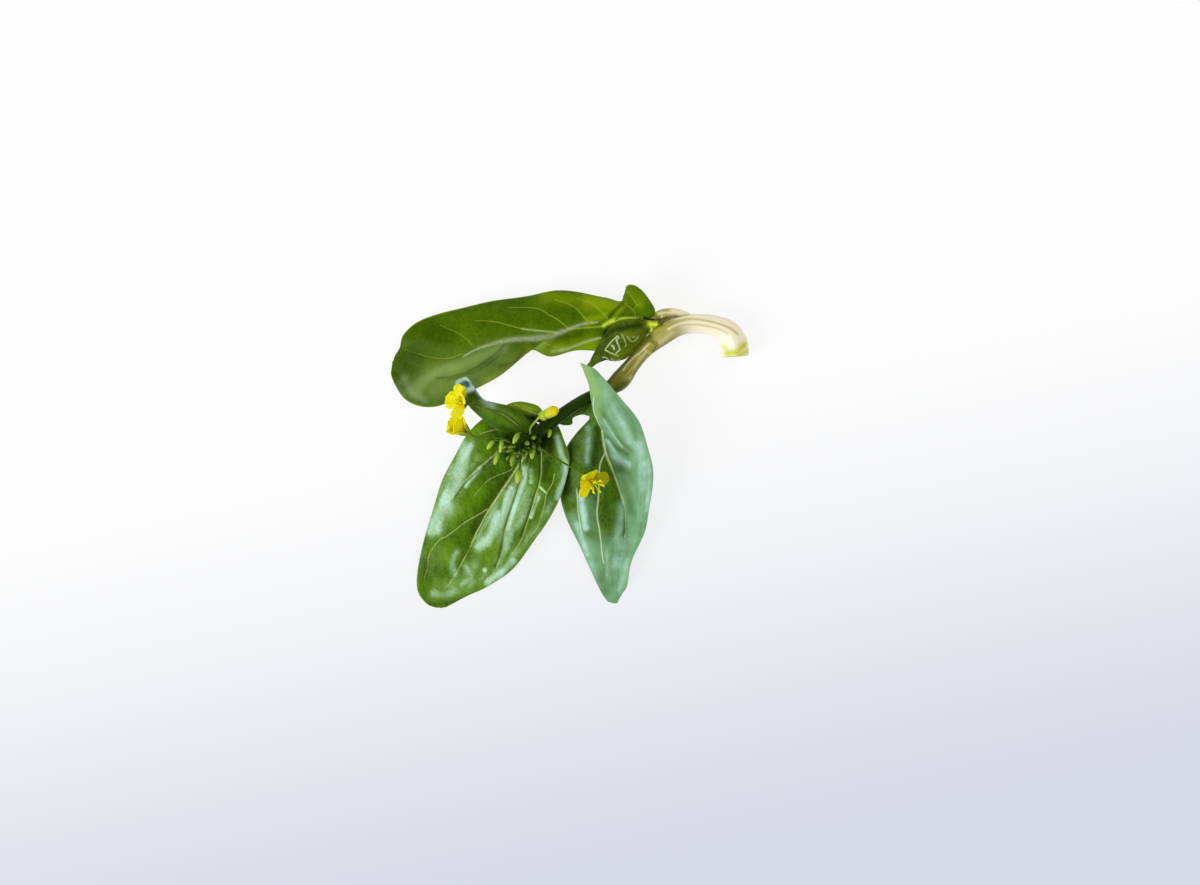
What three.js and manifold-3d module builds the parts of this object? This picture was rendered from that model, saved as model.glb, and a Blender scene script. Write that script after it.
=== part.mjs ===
// Choy sum flowering shoot, lying as picked, in millimetres with +Z up.
// The stem's cut end points to +X, the blades spread to -X and -Y, and the shoot rests on the plane Z = 0
// with the cut end of the stem and the tips of its three large leaves.
import * as THREE from 'three';
import { mergeVertices } from 'three/addons/utils/BufferGeometryUtils.js';
import Module from 'manifold-3d';

const wasm = await Module();
wasm.setup();

// Driving dimensions of the whole shoot
const CLEARANCE = 0.35;
const BLADE_THICKNESS = 0.85;
const MARGIN_THICKNESS = 0.65;
const PETAL_THICKNESS = 0.6;
const MERGE_DISTANCE = 0.0001;
const SLIVER = 0.004;

// Form of every blade: how its lines of points crowd towards the midrib, and the keel below the midrib,
// which reaches over a share of the half blade and loses a share of its depth towards the tip
const MIDRIB_CROWDING = 1.3;
const KEEL_REACH = 0.15;
const KEEL_TAPER = 0.85;

const point = ([x, y, z]) => new THREE.Vector3(x, y, z);
const curveThrough = (points) => new THREE.CatmullRomCurve3(points.map(point), false, 'catmullrom', 0.5);

// A number that passes smoothly through the given values as t goes from 0 to 1
function smoothValue(values) {
  const curve = curveThrough(values.map((value) => [value, 0, 0]));
  return (t) => curve.getPoint(t).x;
}

// Signed volume of an indexed triangle mesh, positive when its faces point outward
function signedVolume(positions, index) {
  let volume = 0;
  const corner = (k) => new THREE.Vector3().fromArray(positions, index[k] * 3);
  for (let k = 0; k < index.length; k += 3) {
    volume += corner(k).dot(corner(k + 1).cross(corner(k + 2))) / 6;
  }
  return volume;
}

// Closed skin over a row of equal rings. From mirrorFrom on, the squares are split the other way, so that
// the two faces of a thin blade carry the same triangles. dish sinks the first cap into the body.
function skin(rings, mirrorFrom = Infinity, dish = 0) {
  const sides = rings[0].length;
  const last = rings.length - 1;
  const centre = (ring) => ring.reduce((sum, p) => sum.add(p), new THREE.Vector3()).divideScalar(sides);
  const firstCentre = centre(rings[0]);
  const inward = centre(rings[1]).sub(firstCentre).normalize();
  const points = rings.flat();
  points.push(firstCentre.addScaledVector(inward, dish), centre(rings[last]));
  const positions = points.flatMap((p) => [p.x, p.y, p.z]);
  const index = [];
  for (let s = 0; s < last; s += 1) {
    for (let i = 0; i < sides; i += 1) {
      const a = s * sides + i;
      const b = s * sides + ((i + 1) % sides);
      const c = a + sides;
      const d = b + sides;
      const split = i < mirrorFrom ? [a, b, d, a, d, c] : [a, b, c, b, d, c];
      index.push(...split);
    }
  }
  for (let i = 0; i < sides; i += 1) {
    const next = (i + 1) % sides;
    index.push(points.length - 2, next, i);
    index.push(points.length - 1, last * sides + i, last * sides + next);
  }
  if (signedVolume(positions, index) < 0) {
    index.reverse();
  }
  const geometry = new THREE.BufferGeometry();
  geometry.setAttribute('position', new THREE.Float32BufferAttribute(positions, 3));
  geometry.setIndex(index);
  return geometry;
}

// Geometry to solid and back, for the joins and cuts
function toSolid(geometry) {
  const merged = mergeVertices(geometry, MERGE_DISTANCE);
  return new wasm.Manifold(new wasm.Mesh({
    numProp: 3,
    vertProperties: new Float32Array(merged.attributes.position.array),
    triVerts: new Uint32Array(merged.index.array),
  }));
}

function toGeometry(solid) {
  const mesh = solid.getMesh();
  const geometry = new THREE.BufferGeometry();
  geometry.setAttribute('position', new THREE.Float32BufferAttribute(mesh.vertProperties, 3));
  geometry.setIndex(Array.from(mesh.triVerts));
  geometry.computeVertexNormals();
  return geometry;
}

// The main body of a solid, without loose scraps and with any sealed hollow filled
function mainBody(solid) {
  return solid.decompose().reduce((best, piece) => (piece.volume() > best.volume() ? piece : best));
}

// Several solids joined into one, with the slivers along the joins tidied away
const fuse = (solids) => mainBody(solids.reduce((whole, solid) => whole.add(solid)).simplify(SLIVER));

// Round body along a route: a stem, stalk or bud. Its radius follows radii, swells by the section function
// of angle and place, and is larger all round by grow. Nothing reaches below the ground.
function tube({ route, radii, sides, steps, grow = 0, section = () => 1, dish = 0 }) {
  const curve = curveThrough(route);
  const radius = smoothValue(radii);
  const across = new THREE.Vector3(0, 0, 1);
  const rings = [];
  for (let s = 0; s <= steps; s += 1) {
    const t = s / steps;
    const centre = curve.getPoint(t);
    const ahead = curve.getTangent(t);
    across.addScaledVector(ahead, -across.dot(ahead)).normalize();
    const beside = ahead.clone().cross(across);
    const ring = [];
    for (let i = 0; i < sides; i += 1) {
      const angle = (i / sides) * 2 * Math.PI;
      const reach = (radius(t) + grow) * section(angle, t);
      const p = centre.clone();
      p.addScaledVector(across, Math.cos(angle) * reach);
      p.addScaledVector(beside, Math.sin(angle) * reach);
      p.z = Math.max(p.z, 0);
      ring.push(p);
    }
    rings.push(ring);
  }
  return toSolid(skin(rings, Infinity, dish));
}

// Leaf blade or petal over its ribs. Each rib is [right edge, midrib, left edge, right swell, left swell],
// as seen from the base with the upper face up. A swell lifts the middle of its half above the straight
// line. veins pairs of side veins lean towards the tip and the blade puckers up between them, the edge
// waves, and the midrib stands out below as a keel.
function blade({
  ribs, along, across, thickness = BLADE_THICKNESS, margin = MARGIN_THICKNESS,
  keel = 0, veins = 0, lean = 0.2, pucker = 0, waves = 0, wave = 0,
}) {
  const right = curveThrough(ribs.map((rib) => rib[0]));
  const midrib = curveThrough(ribs.map((rib) => rib[1]));
  const left = curveThrough(ribs.map((rib) => rib[2]));
  const rightSwell = smoothValue(ribs.map((rib) => rib[3]));
  const leftSwell = smoothValue(ribs.map((rib) => rib[4]));

  // Point of the middle surface: u runs from -1 at the right edge over 0 at the midrib to 1 at the left edge
  function surface(t, u) {
    const a = Math.abs(u);
    const mid = midrib.getPoint(t);
    const outward = (u < 0 ? right : left).getPoint(t).sub(mid);
    const ahead = midrib.getTangent(t);
    const up = u < 0 ? outward.clone().cross(ahead) : ahead.clone().cross(outward);
    up.normalize();
    const swell = 4 * (u < 0 ? rightSwell : leftSwell)(t) * a * (1 - a);
    const phase = 2 * Math.PI * veins * (t - lean * a);
    const lift = pucker * Math.sin(Math.PI * a) * (0.5 - 0.5 * Math.cos(phase));
    const flutter = wave * a ** 3 * Math.sin(2 * Math.PI * waves * t + (u < 0 ? 0 : 2));
    return mid.addScaledVector(outward, a).addScaledVector(up, swell + lift + flutter);
  }

  const half = across / 2;
  const rings = [];
  for (let s = 0; s <= along; s += 1) {
    const t = s / along;
    const upper = [];
    const lower = [];
    for (let i = 0; i <= across; i += 1) {
      const place = (i - half) / half;
      const u = Math.sign(place) * Math.abs(place) ** MIDRIB_CROWDING;
      const a = Math.abs(u);
      const step = 0.01;
      const p = surface(t, u);
      const aheadStep = surface(Math.min(t + step, 1), u).sub(surface(Math.max(t - step, 0), u));
      const sideStep = surface(t, Math.min(u + step, 1)).sub(surface(t, Math.max(u - step, -1)));
      const normal = aheadStep.cross(sideStep).normalize();
      const depth = (thickness + (margin - thickness) * a) / 2;
      const ridge = keel * (1 - KEEL_TAPER * t) * Math.max(0, 1 - a / KEEL_REACH);
      const top = p.clone().addScaledVector(normal, depth);
      const bottom = p.clone().addScaledVector(normal, -depth - ridge);
      bottom.z = Math.max(bottom.z, 0);
      top.z = Math.max(top.z, 2 * depth);
      upper.push(top);
      lower.push(bottom);
    }
    rings.push([...upper, ...lower.reverse()]);
  }
  return toSolid(skin(rings, across + 1));
}

// Main stem: pale and thick at the cut, bent over, swollen where the leaves clasp it, thin to the flowers
const STEM_ROUTE = [
  [69.28, 38.4, 5.6], [68.8, 44, 5.6], [66.3, 48.5, 5.4], [62, 50.8, 5.9], [57, 52, 6.8], [50.5, 52, 8],
  [44.5, 50.5, 9.5], [38, 46.5, 11], [31.5, 41, 12.5], [26.5, 35, 13.8], [21.5, 28.5, 14.8], [17, 25, 15.2],
  [11.5, 22.5, 15.5], [4.5, 19, 16], [-3, 14, 16.5], [-9.5, 9, 17.5], [-13.5, 6, 18.3],
];
const STEM_RADII = [6, 5.9, 5.3, 4.6, 4.2, 4.1, 4.1, 4.1, 3.4, 3.3, 4.1, 3.2, 2.6, 2.5, 2.5, 2.4, 2.1];
const STEM_RIDGES = 5;
const STEM_RIDGE_DEPTH = 0.05;

function stemSolid(grow = 0) {
  return tube({
    route: STEM_ROUTE,
    radii: STEM_RADII,
    sides: 16,
    steps: 36,
    grow,
    section: (angle, t) => 1 + STEM_RIDGE_DEPTH * (1 - t) * Math.cos(STEM_RIDGES * angle + 4 * t),
    dish: grow > 0 ? 0 : 1,
  });
}

// Flowering top of the stem: the axis, the buds on their stalks, and the stalks of the open flowers
const AXIS_ROUTE = [[-14.3, 5.4, 18.6], [-18.5, 1.5, 20], [-21.5, -1, 21.5], [-23.5, -3, 22.5]];
const AXIS_RADII = [2, 1.8, 1.5, 0.8];
const STALK_RADIUS = 0.55;
const STALK_ARCH = 0.07;
const GOLDEN_SHARE = (Math.sqrt(5) - 1) / 2;

// Outer buds hang out over the left leaf: stalk's start on the axis, foot and tip of the bud, its radius
const OUTER_BUDS = [
  [[-20, 2, 20], [-30.9, 3.4, 20], [-34, -0.5, 19], 1.05],
  [[-21, 1.5, 20.5], [-27.5, 3.6, 21.5], [-28.5, -2, 20.5], 0.9],
  [[-22, -0.5, 21], [-29, -1.6, 19.5], [-31, -7, 18], 1],
  [[-17.5, 4, 19.8], [-20.6, 6.4, 23.4], [-23, 1.8, 24], 1.15],
  [[-17, 2.5, 19.5], [-15.3, 0.4, 19.8], [-16, -4.5, 19], 1.05],
  [[-15, 4, 19], [-7.6, 7.8, 20], [-8.5, 4.3, 20], 0.85],
  [[-21.5, -1, 21.5], [-22.6, -3.7, 21], [-24, -7.6, 20], 1],
  [[-20, -0.5, 20.5], [-20.5, -8.6, 18], [-21.5, -14.5, 17.5], 1.35],
  [[-16, 3.5, 19.5], [-13, 1, 20.5], [-11, -1.5, 20.5], 0.9],
];
const INNER_BUDS = 14;
const INNER_BUD_RADIUS = 0.95;
const INNER_BUD_LENGTH = 4.2;
const INNER_BUD_REACH = 9.5;

// One bud with its stalk: the stalk leaves the axis, arches by a share of its length and swells into the bud
function bud(from, foot, tip, bodyRadius, sides = 5, steps = 8) {
  const start = point(from);
  const neck = point(foot);
  const end = point(tip);
  const arch = start.clone().lerp(neck, 0.5);
  arch.z += STALK_ARCH * start.distanceTo(neck);
  const belly = neck.clone().lerp(end, 0.35);
  const shoulder = neck.clone().lerp(end, 0.75);
  return {
    route: [start, arch, neck, belly, shoulder, end].map((p) => p.toArray()),
    radii: [STALK_RADIUS, STALK_RADIUS, STALK_RADIUS + 0.15, bodyRadius, bodyRadius * 0.85, 0.25],
    sides,
    steps,
  };
}

// Inner buds stand out from the axis to the leafless side, spread by a fixed rule and shorter towards its end
function innerBuds() {
  const axis = curveThrough(AXIS_ROUTE);
  const buds = [];
  for (let i = 0; i < INNER_BUDS; i += 1) {
    const t = (i + 0.5) / INNER_BUDS;
    const foot = axis.getPoint(t);
    const bearing = -Math.PI * ((i * GOLDEN_SHARE) % 1) + 0.3;
    const rise = Math.PI * (0.06 + 0.3 * ((i * GOLDEN_SHARE * GOLDEN_SHARE) % 1));
    const reach = INNER_BUD_REACH * (1 - t / 2);
    const tip = foot.clone();
    tip.x += Math.cos(bearing) * Math.cos(rise) * reach;
    tip.y += Math.sin(bearing) * Math.cos(rise) * reach;
    tip.z += Math.sin(rise) * reach;
    const neck = foot.clone().lerp(tip, 1 - INNER_BUD_LENGTH / reach);
    buds.push(bud(foot.toArray(), neck.toArray(), tip.toArray(), INNER_BUD_RADIUS, 4, 6));
  }
  return buds;
}

// Flowers: seat of the bloom, direction that it faces, and the way points of its stalk from the axis. Each
// petal has its place about that direction, its opening and its twist in degrees, and its share of full
// width.
const FLOWERS = [
  {
    name: 'flower_upper', seat: [-43.2, 17.6, 26], facing: [-0.62, 0.15, 0.77],
    petals: [[12, 62, 0, 1], [125, 42, 15, 0.85], [188, 62, 15, 0.9], [272, 76, 0, 1]],
    stalk: [[-17, 3, 19.8], [-21, 10, 23.6], [-27, 14.5, 26.3], [-35, 16.3, 26.6]],
  },
  {
    name: 'flower_lower', seat: [-42.2, 6.2, 22.5], facing: [-0.72, 0.5, 0.48],
    petals: [[0, 34, 0, 1], [95, 24, 0, 1.1], [180, 32, 0, 1], [270, 28, 0, 1.1]],
    stalk: [[-19, 1.5, 20.3], [-26, 3.4, 21.6], [-31, 4.4, 22], [-38, 4.4, 22]],
  },
  {
    name: 'flower_right', seat: [6.6, -12.3, 20.2], facing: [0.5, -0.45, 0.74],
    petals: [[-40, 75, 0, 1], [60, 64, -20, 1.1], [130, 50, 50, 0.7], [202, 82, 60, 0.8]],
    stalk: [[-15, 4, 19.2], [-11, -0.5, 21], [-4, -5, 20.6], [2, -8.6, 19]],
  },
];
const PETAL_LENGTH = 9.6;
const CLAW_LENGTH = 2.4;
const CLAW_PLACE = 0.62;
const LIMB_PLACE = 0.7;
const STAMENS = 6;
const STAMEN_ROUTE = [[0.5, 1.8], [1.1, 2.6], [1.5, 4.2], [1.6, 5.2]];
const STAMEN_RADII = [0.24, 0.26, 0.42, 0.32];
const SEPALS = 4;

// Turns a place given as radius, angle and height about a flower's facing into the shoot's frame
function flowerFrame({ seat, facing }) {
  const face = point(facing).normalize();
  const side = new THREE.Vector3(0, 0, 1).cross(face).normalize();
  const up = face.clone().cross(side);
  return (radius, degrees, height) => {
    const angle = THREE.MathUtils.degToRad(degrees);
    const p = point(seat).addScaledVector(face, height);
    p.addScaledVector(side, Math.cos(angle) * radius);
    p.addScaledVector(up, Math.sin(angle) * radius);
    return p;
  };
}

// A petal or sepal: stations along it as [radius, height, half width], turned by its twist towards the tip
function flowerBlade(place, degrees, stations, along, across, swell, twist = 0) {
  const centre = place(0, 0, 0);
  const outward = place(1, degrees, 0).sub(centre);
  const sideways = place(1, degrees + 90, 0).sub(centre);
  const rising = outward.clone().cross(sideways);
  const ribs = stations.map(([radius, height, halfWidth], k) => {
    const turn = THREE.MathUtils.degToRad(twist) * (k / (stations.length - 1));
    const mid = place(radius, degrees, height);
    const chord = sideways.clone().multiplyScalar(Math.cos(turn) * halfWidth);
    chord.addScaledVector(rising, Math.sin(turn) * halfWidth);
    const right = mid.clone().sub(chord);
    const left = mid.clone().add(chord);
    return [right.toArray(), mid.toArray(), left.toArray(), swell, swell];
  });
  return blade({ ribs, along, across, thickness: PETAL_THICKNESS, margin: PETAL_THICKNESS });
}

function flowerSolid(flower) {
  const place = flowerFrame(flower);
  const limb = PETAL_LENGTH - CLAW_LENGTH;
  const pieces = flower.petals.map(([degrees, opening, twist, breadth]) => {
    const tilt = THREE.MathUtils.degToRad(opening);
    const limbStation = (share, halfWidth) => [
      LIMB_PLACE + Math.sin(tilt) * limb * share, CLAW_LENGTH + Math.cos(tilt) * limb * share,
      halfWidth * breadth,
    ];
    const stations = [
      [CLAW_PLACE, 0.3, 0.35], [CLAW_PLACE, 1.4, 0.45], limbStation(0, 1.1), limbStation(0.35, 2.8),
      limbStation(0.7, 3.5), limbStation(0.92, 2.6), limbStation(1, 1.1),
    ];
    return flowerBlade(place, degrees, stations, 7, 4, 0.3, twist);
  });
  const hub = [place(0, 0, 0).toArray(), place(0, 0, 1).toArray(), place(0, 0, 3.4).toArray()];
  pieces.push(tube({ route: hub, radii: [0.95, 0.95, 0.4], sides: 6, steps: 2 }));
  for (let i = 0; i < STAMENS; i += 1) {
    const stand = (i / STAMENS) * 360 + 15;
    const route = STAMEN_ROUTE.map(([radius, height]) => place(radius, stand, height).toArray());
    pieces.push(tube({ route, radii: STAMEN_RADII, sides: 3, steps: 3 }));
  }
  return fuse(pieces);
}

// Green base of a flower: the receptacle at the end of the stalk with four narrow sepals
function calyx(flower, grow) {
  const place = flowerFrame(flower);
  const pieces = [];
  const end = place(0, 0, -2.4).toArray();
  const seat = place(0, 0, -CLEARANCE).toArray();
  const radii = [...flower.stalk.map(() => STALK_RADIUS), 0.7, 1.1];
  pieces.push(tube({ route: [...flower.stalk, end, seat], radii, sides: 7, steps: 10, grow }));
  for (let i = 0; i < SEPALS; i += 1) {
    const stations = [
      [0.4, -1.1, 0.5], [1.4, -0.6, 0.8], [2.3, 0.3, 0.9], [3, 1, 0.7], [3.5, 1.3, 0.3],
    ];
    pieces.push(flowerBlade(place, flower.petals[0][0] + i * 90 + 45, stations, 4, 2, 0.1));
  }
  return pieces;
}

// Bud that is just opening: its green base on a stalk, and the yellow petals still rolled together
const OPENING_STALK = [[-16, 4, 19.4], [-15.5, 9, 21], [-12.5, 12.5, 22], [-11.5, 13.2, 22], [-9.8, 14, 22]];
const OPENING_STALK_RADII = [0.6, 0.6, 0.8, 1.5, 2];
const OPENING_PETALS = [[-9.5, 14.1, 22], [-7.5, 15.2, 22.1], [-5.6, 16.2, 22.2], [-4.4, 16.9, 22.2]];
const OPENING_RADII = [2, 2.1, 1.6, 0.5];

function budClusterSolid(grow = 0) {
  const tubes = [{ route: AXIS_ROUTE, radii: AXIS_RADII, sides: 12, steps: 8 }];
  OUTER_BUDS.forEach(([from, foot, tip, radius]) => tubes.push(bud(from, foot, tip, radius)));
  tubes.push(...innerBuds());
  tubes.push({ route: OPENING_STALK, radii: OPENING_STALK_RADII, sides: 9, steps: 9 });
  const green = tubes.map((spec) => tube({ ...spec, grow }));
  FLOWERS.forEach((flower) => green.push(...calyx(flower, grow)));
  return fuse(green);
}

// Large leaf, sweeping left from the stem. Near its base the right half stands up as an ear and the left
// half is a lighter lobe; the midrib is the crest of the blade.
const LARGE_LEAF = [
  [[35, 56, 13.6], [36, 54.5, 13.3], [36.5, 53, 12.6], 0, 0],
  [[35, 59, 17], [31.5, 54, 14], [30, 51.5, 12.3], 0.5, 0.2],
  [[29.5, 65.5, 20.5], [26.5, 54.5, 14.5], [23.5, 44.5, 10.5], 1, 0.8],
  [[24, 67.05, 21.5], [21, 54, 15], [15.5, 41, 9.5], 1, 1],
  [[22, 61, 14], [16.5, 51.5, 15], [8.5, 40.5, 9.5], 0.8, 1],
  [[15, 63, 10.5], [11.5, 50.5, 15], [1, 40.5, 10], 1.8, 1],
  [[4.5, 65, 8.5], [4.5, 50, 15], [-8, 38.5, 10.5], 2, 1],
  [[-6, 65.5, 8], [-2.5, 48.5, 15], [-15, 40.5, 10], 2, 0.5],
  [[-16.5, 64, 7.5], [-12.5, 46, 15], [-20, 38, 5.5], 2, 0],
  [[-29, 62, 7], [-25, 45, 14.5], [-30.5, 30, 4], 2, 1],
  [[-42, 59, 6.5], [-37, 43, 13], [-42, 23.5, 2.5], 2, 2],
  [[-54.5, 56.5, 5.5], [-47, 38.5, 10.5], [-54.5, 18, 0], 1.5, 2],
  [[-63.5, 53, 4.5], [-56, 38, 7], [-63.5, 18, -1.8], 1, 0.6],
  [[-69.5, 47.5, 3.5], [-65, 40, 4], [-70.5, 21.5, -2], 0.5, 0.2],
  [[-71.5, 42, 2.5], [-70.5, 41, 2.4], [-75, 30, -1.2], 0.1, 0.1],
  [[-72.5, 40, 1.6], [-73.5, 38.5, 1.2], [-74.5, 36.5, 0.6], 0, 0],
];

// Leaf on the left, hanging from the flowering top down to the ground
const LEFT_LEAF = [
  [[-14, 11, 13.6], [-12.5, 9.5, 13.6], [-10.5, 8, 13.2], 0, 0],
  [[-25, 15, 12], [-15.5, 4.5, 12.5], [-5.5, 10, 9.8], 1, 0.8],
  [[-34.5, 13, 10.5], [-18.5, -1.5, 11.5], [-2.5, 4, 11], 1.8, 1.5],
  [[-42, 6.5, 8.5], [-22.5, -8.5, 10.5], [0, -4, 11.8], 2.4, 1.8],
  [[-47.5, -2.5, 7.5], [-27, -15.5, 10], [-1.5, -13.5, 11.3], 2.8, 2],
  [[-52.5, -12, 6.5], [-31.5, -22, 9.2], [-4.5, -22, 9.2], 3, 2.4],
  [[-56, -22, 5.5], [-35.5, -28.5, 7.8], [-9, -30.5, 8.6], 3, 2.4],
  [[-59, -31.5, 4.5], [-39.5, -35.5, 6.4], [-15, -39, 7.6], 3, 2.3],
  [[-62, -42.5, 3.2], [-43, -44, 4.4], [-23.5, -50.5, 5.2], 2.5, 2],
  [[-64, -52, 1.6], [-47.5, -51.5, 2.2], [-32.5, -57, 2.2], 1.6, 1.2],
  [[-64, -60, -0.2], [-50.5, -57, 0.4], [-41.5, -61.5, -0.2], 0.6, 0.5],
  [[-61, -65, -0.6], [-53.5, -62.5, -0.5], [-48, -65, -0.6], 0, 0],
  [[-57.2, -67.4, -0.6], [-54, -67.4, -0.6], [-51.5, -67.4, -0.6], 0, 0],
];

// Leaf on the right, folded along its midrib. Its left half rises over the stem as a pointed ear.
const RIGHT_LEAF = [
  [[8.5, 17, 13], [10.5, 20.5, 19], [5, 35, 24], 0, 0],
  [[8, 14.5, 12.8], [10, 16.5, 18.5], [10, 32.5, 25], 0, 1],
  [[7.5, 11, 12.5], [11, 12, 17], [18, 25, 25], 0, 1.5],
  [[3.5, 7, 12], [14, 7, 14], [25, 16, 24.5], 1, 1.5],
  [[-1, 0.5, 8.5], [15, 0.5, 11.5], [30.5, 7, 23], 2.6, 1.5],
  [[-3.5, -6, 6.2], [17.5, -6.5, 9.5], [34, -4, 20.5], 4, 1.5],
  [[-4, -13.5, 5.5], [20, -14, 8], [34.5, -13.5, 18], 4.5, 1.5],
  [[-3.5, -22, 5], [22.5, -22, 6.5], [34, -23, 15], 4.5, 1.5],
  [[-0.5, -31, 4.8], [24, -31, 5], [31.5, -33.5, 11], 3.6, 1],
  [[4.5, -41.5, 3.8], [22.5, -41, 3.2], [27, -45.5, 7], 2, 0.8],
  [[9.5, -52.5, 1.4], [21, -52.5, 1.2], [24.5, -56.5, 3], 0.8, 0.4],
  [[13.5, -61, -0.6], [20, -61, -0.5], [22, -61.5, -0.2], 0, 0],
  [[16.5, -65, -0.6], [18.5, -65.5, -0.6], [20, -65.5, -0.6], 0, 0],
];

// The right leaf's other ear, a lobed one that passes under the stem
const RIGHT_LEAF_LOBE = [
  [[11, 21, 12], [11.5, 17.5, 12.4], [11, 14, 12.8], 0, 0],
  [[7, 20, 12], [8, 17, 12.2], [8, 13.5, 12.5], 0, 0.3],
  [[3.5, 18.5, 12], [4.5, 16, 12], [5, 14, 11.5], 0, 0.3],
  [[-0.5, 16, 12], [0.5, 14, 12], [1.5, 12.5, 11.2], 0, 0.3],
  [[-2.5, 14, 12], [-1, 12, 12], [1, 10, 11.2], 0, 0.3],
  [[-4.5, 12.5, 12], [-3, 11.5, 12], [-2, 9.5, 11.5], 0, 0.2],
  [[-5.5, 11.5, 12], [-5.2, 11, 12], [-4.8, 10.3, 12], 0, 0],
];

// Small pointed leaf over the base of the large one
const POINTED_LEAF = [
  [[36.8, 53.2, 14.8], [36.8, 51.2, 14.4], [34.2, 48.3, 13.8], 0, 0],
  [[33, 53, 16], [33, 50.5, 15], [32.3, 46.7, 10.2], 0, 0],
  [[28, 53.5, 17.5], [27, 49, 16.5], [28.9, 43.2, 10.2], 0.4, 0.8],
  [[22, 52.5, 18.2], [22, 47, 17], [24.1, 37.5, 11.5], 0.4, 1],
  [[17.5, 50.5, 17.7], [18.5, 44, 16.5], [18.5, 36.5, 12.5], 0.4, 1],
  [[13.5, 45, 16.5], [15.5, 41, 15.8], [15.5, 36.5, 13.5], 0.3, 0.6],
  [[10.5, 40, 15], [12.5, 38, 14.8], [13, 36, 14], 0.1, 0.2],
  [[8.5, 36, 14], [9.5, 35.5, 13.8], [10, 34, 13.6], 0, 0],
  [[6.5, 33, 13], [7, 32.7, 13], [7.4, 32.3, 13], 0, 0],
];

// Young leaf beside the flowers, folded, with its tip curled up
const CURLED_LEAF = [
  [[-15.5, 9.5, 20], [-16, 8.5, 20.4], [-17, 6.5, 20], 0, 0],
  [[-18, 12.5, 20.5], [-21, 10, 21.8], [-22.5, 6.5, 19.5], 0.3, 0.5],
  [[-23.5, 17, 21], [-27, 13, 23], [-29.5, 8, 19.4], 0.3, 0.7],
  [[-30, 18.5, 21.5], [-33, 15.5, 24], [-35.5, 12, 20.4], 0.3, 0.7],
  [[-35, 20, 22.5], [-38, 19, 25], [-41, 17, 22.4], 0.3, 0.5],
  [[-38.5, 24.5, 24], [-41, 23, 25.5], [-43.5, 22, 24.5], 0, 0],
  [[-40.5, 27.5, 26.5], [-43.5, 26, 27], [-46.5, 25, 27], -0.4, -0.4],
  [[-42, 29, 29], [-45, 27.5, 29], [-47.5, 26, 29], -0.4, -0.4],
  [[-44, 28.5, 31], [-45.5, 27.8, 31], [-46.5, 27, 31], 0, 0],
];

// Young leaf behind the curled one
const BACK_LEAF = [
  [[-10, 14, 17], [-10.5, 12, 16.5], [-12, 10.5, 16], 0, 0],
  [[-13, 17.5, 17], [-15.5, 14.5, 17.5], [-17, 12, 16], 0.3, 0.3],
  [[-18.5, 19, 17], [-20.5, 15.5, 18], [-22.5, 12.5, 16.5], 0.4, 0.4],
  [[-23, 19, 16.8], [-25, 16, 17.4], [-26.5, 13.5, 16.2], 0.3, 0.3],
  [[-26.5, 17.5, 16.4], [-28.5, 15.5, 16.8], [-29.5, 14.5, 16], 0.1, 0.1],
  [[-30, 16, 16], [-30.5, 15.3, 16], [-31, 14.7, 16], 0, 0],
];

// The large leaf's own stalk, which lies along the stem
const LARGE_LEAF_STALK = {
  route: [[50, 55.9, 8.6], [45, 56.6, 10], [40.2, 56.3, 11.6], [35.9, 55, 13], [31, 54.2, 14.2]],
  radii: [0.7, 1.6, 1.9, 1.7, 0.9],
  sides: 8,
  steps: 8,
};

const LEAVES = [
  {
    name: 'leaf_large', colour: 0x5d7923, stalk: LARGE_LEAF_STALK,
    blades: [{
      ribs: LARGE_LEAF, along: 34, across: 10, keel: 1.3,
      veins: 7, lean: 0.2, pucker: 0.7, waves: 5, wave: 0.8,
    }],
  },
  {
    name: 'leaf_left', colour: 0x547a1c,
    blades: [{
      ribs: LEFT_LEAF, along: 30, across: 10, keel: 1,
      veins: 6, lean: 0.25, pucker: 0.9, waves: 5, wave: 0.7,
    }],
  },
  {
    name: 'leaf_right', colour: 0x7aa868,
    blades: [
      {
        ribs: RIGHT_LEAF, along: 30, across: 10, keel: 1,
        veins: 6, lean: 0.25, pucker: 0.8, waves: 5, wave: 0.8,
      },
      { ribs: RIGHT_LEAF_LOBE, along: 12, across: 4, waves: 3, wave: 0.3 },
    ],
  },
  {
    name: 'leaf_pointed', colour: 0x3f5c0e,
    blades: [{
      ribs: POINTED_LEAF, along: 16, across: 6, keel: 0.5,
      veins: 5, lean: 0.2, pucker: 0.5, waves: 4, wave: 0.5,
    }],
  },
  {
    name: 'leaf_curled', colour: 0x4d7126,
    blades: [{
      ribs: CURLED_LEAF, along: 18, across: 6, keel: 0.4,
      veins: 4, lean: 0.2, pucker: 0.2, waves: 3, wave: 0.2,
    }],
  },
  {
    name: 'leaf_back', colour: 0x6b820a,
    blades: [{
      ribs: BACK_LEAF, along: 10, across: 4, keel: 0.4,
      veins: 4, lean: 0.2, pucker: 0.2, waves: 3, wave: 0.3,
    }],
  },
];

function material(colour, roughness) {
  return new THREE.MeshStandardMaterial({ color: colour, roughness, metalness: 0 });
}

function addPiece(group, name, solid, finish) {
  const mesh = new THREE.Mesh(toGeometry(solid), finish);
  mesh.name = name;
  group.add(mesh);
}

const group = new THREE.Group();
const stemSpace = stemSolid(CLEARANCE);
const stalkSpace = stemSpace.add(budClusterSolid(CLEARANCE));
addPiece(group, 'stem', stemSolid(), material(0xb9b47a, 0.45));
addPiece(group, 'bud_cluster', mainBody(budClusterSolid().subtract(stemSpace)), material(0x6f9a22, 0.5));

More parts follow.
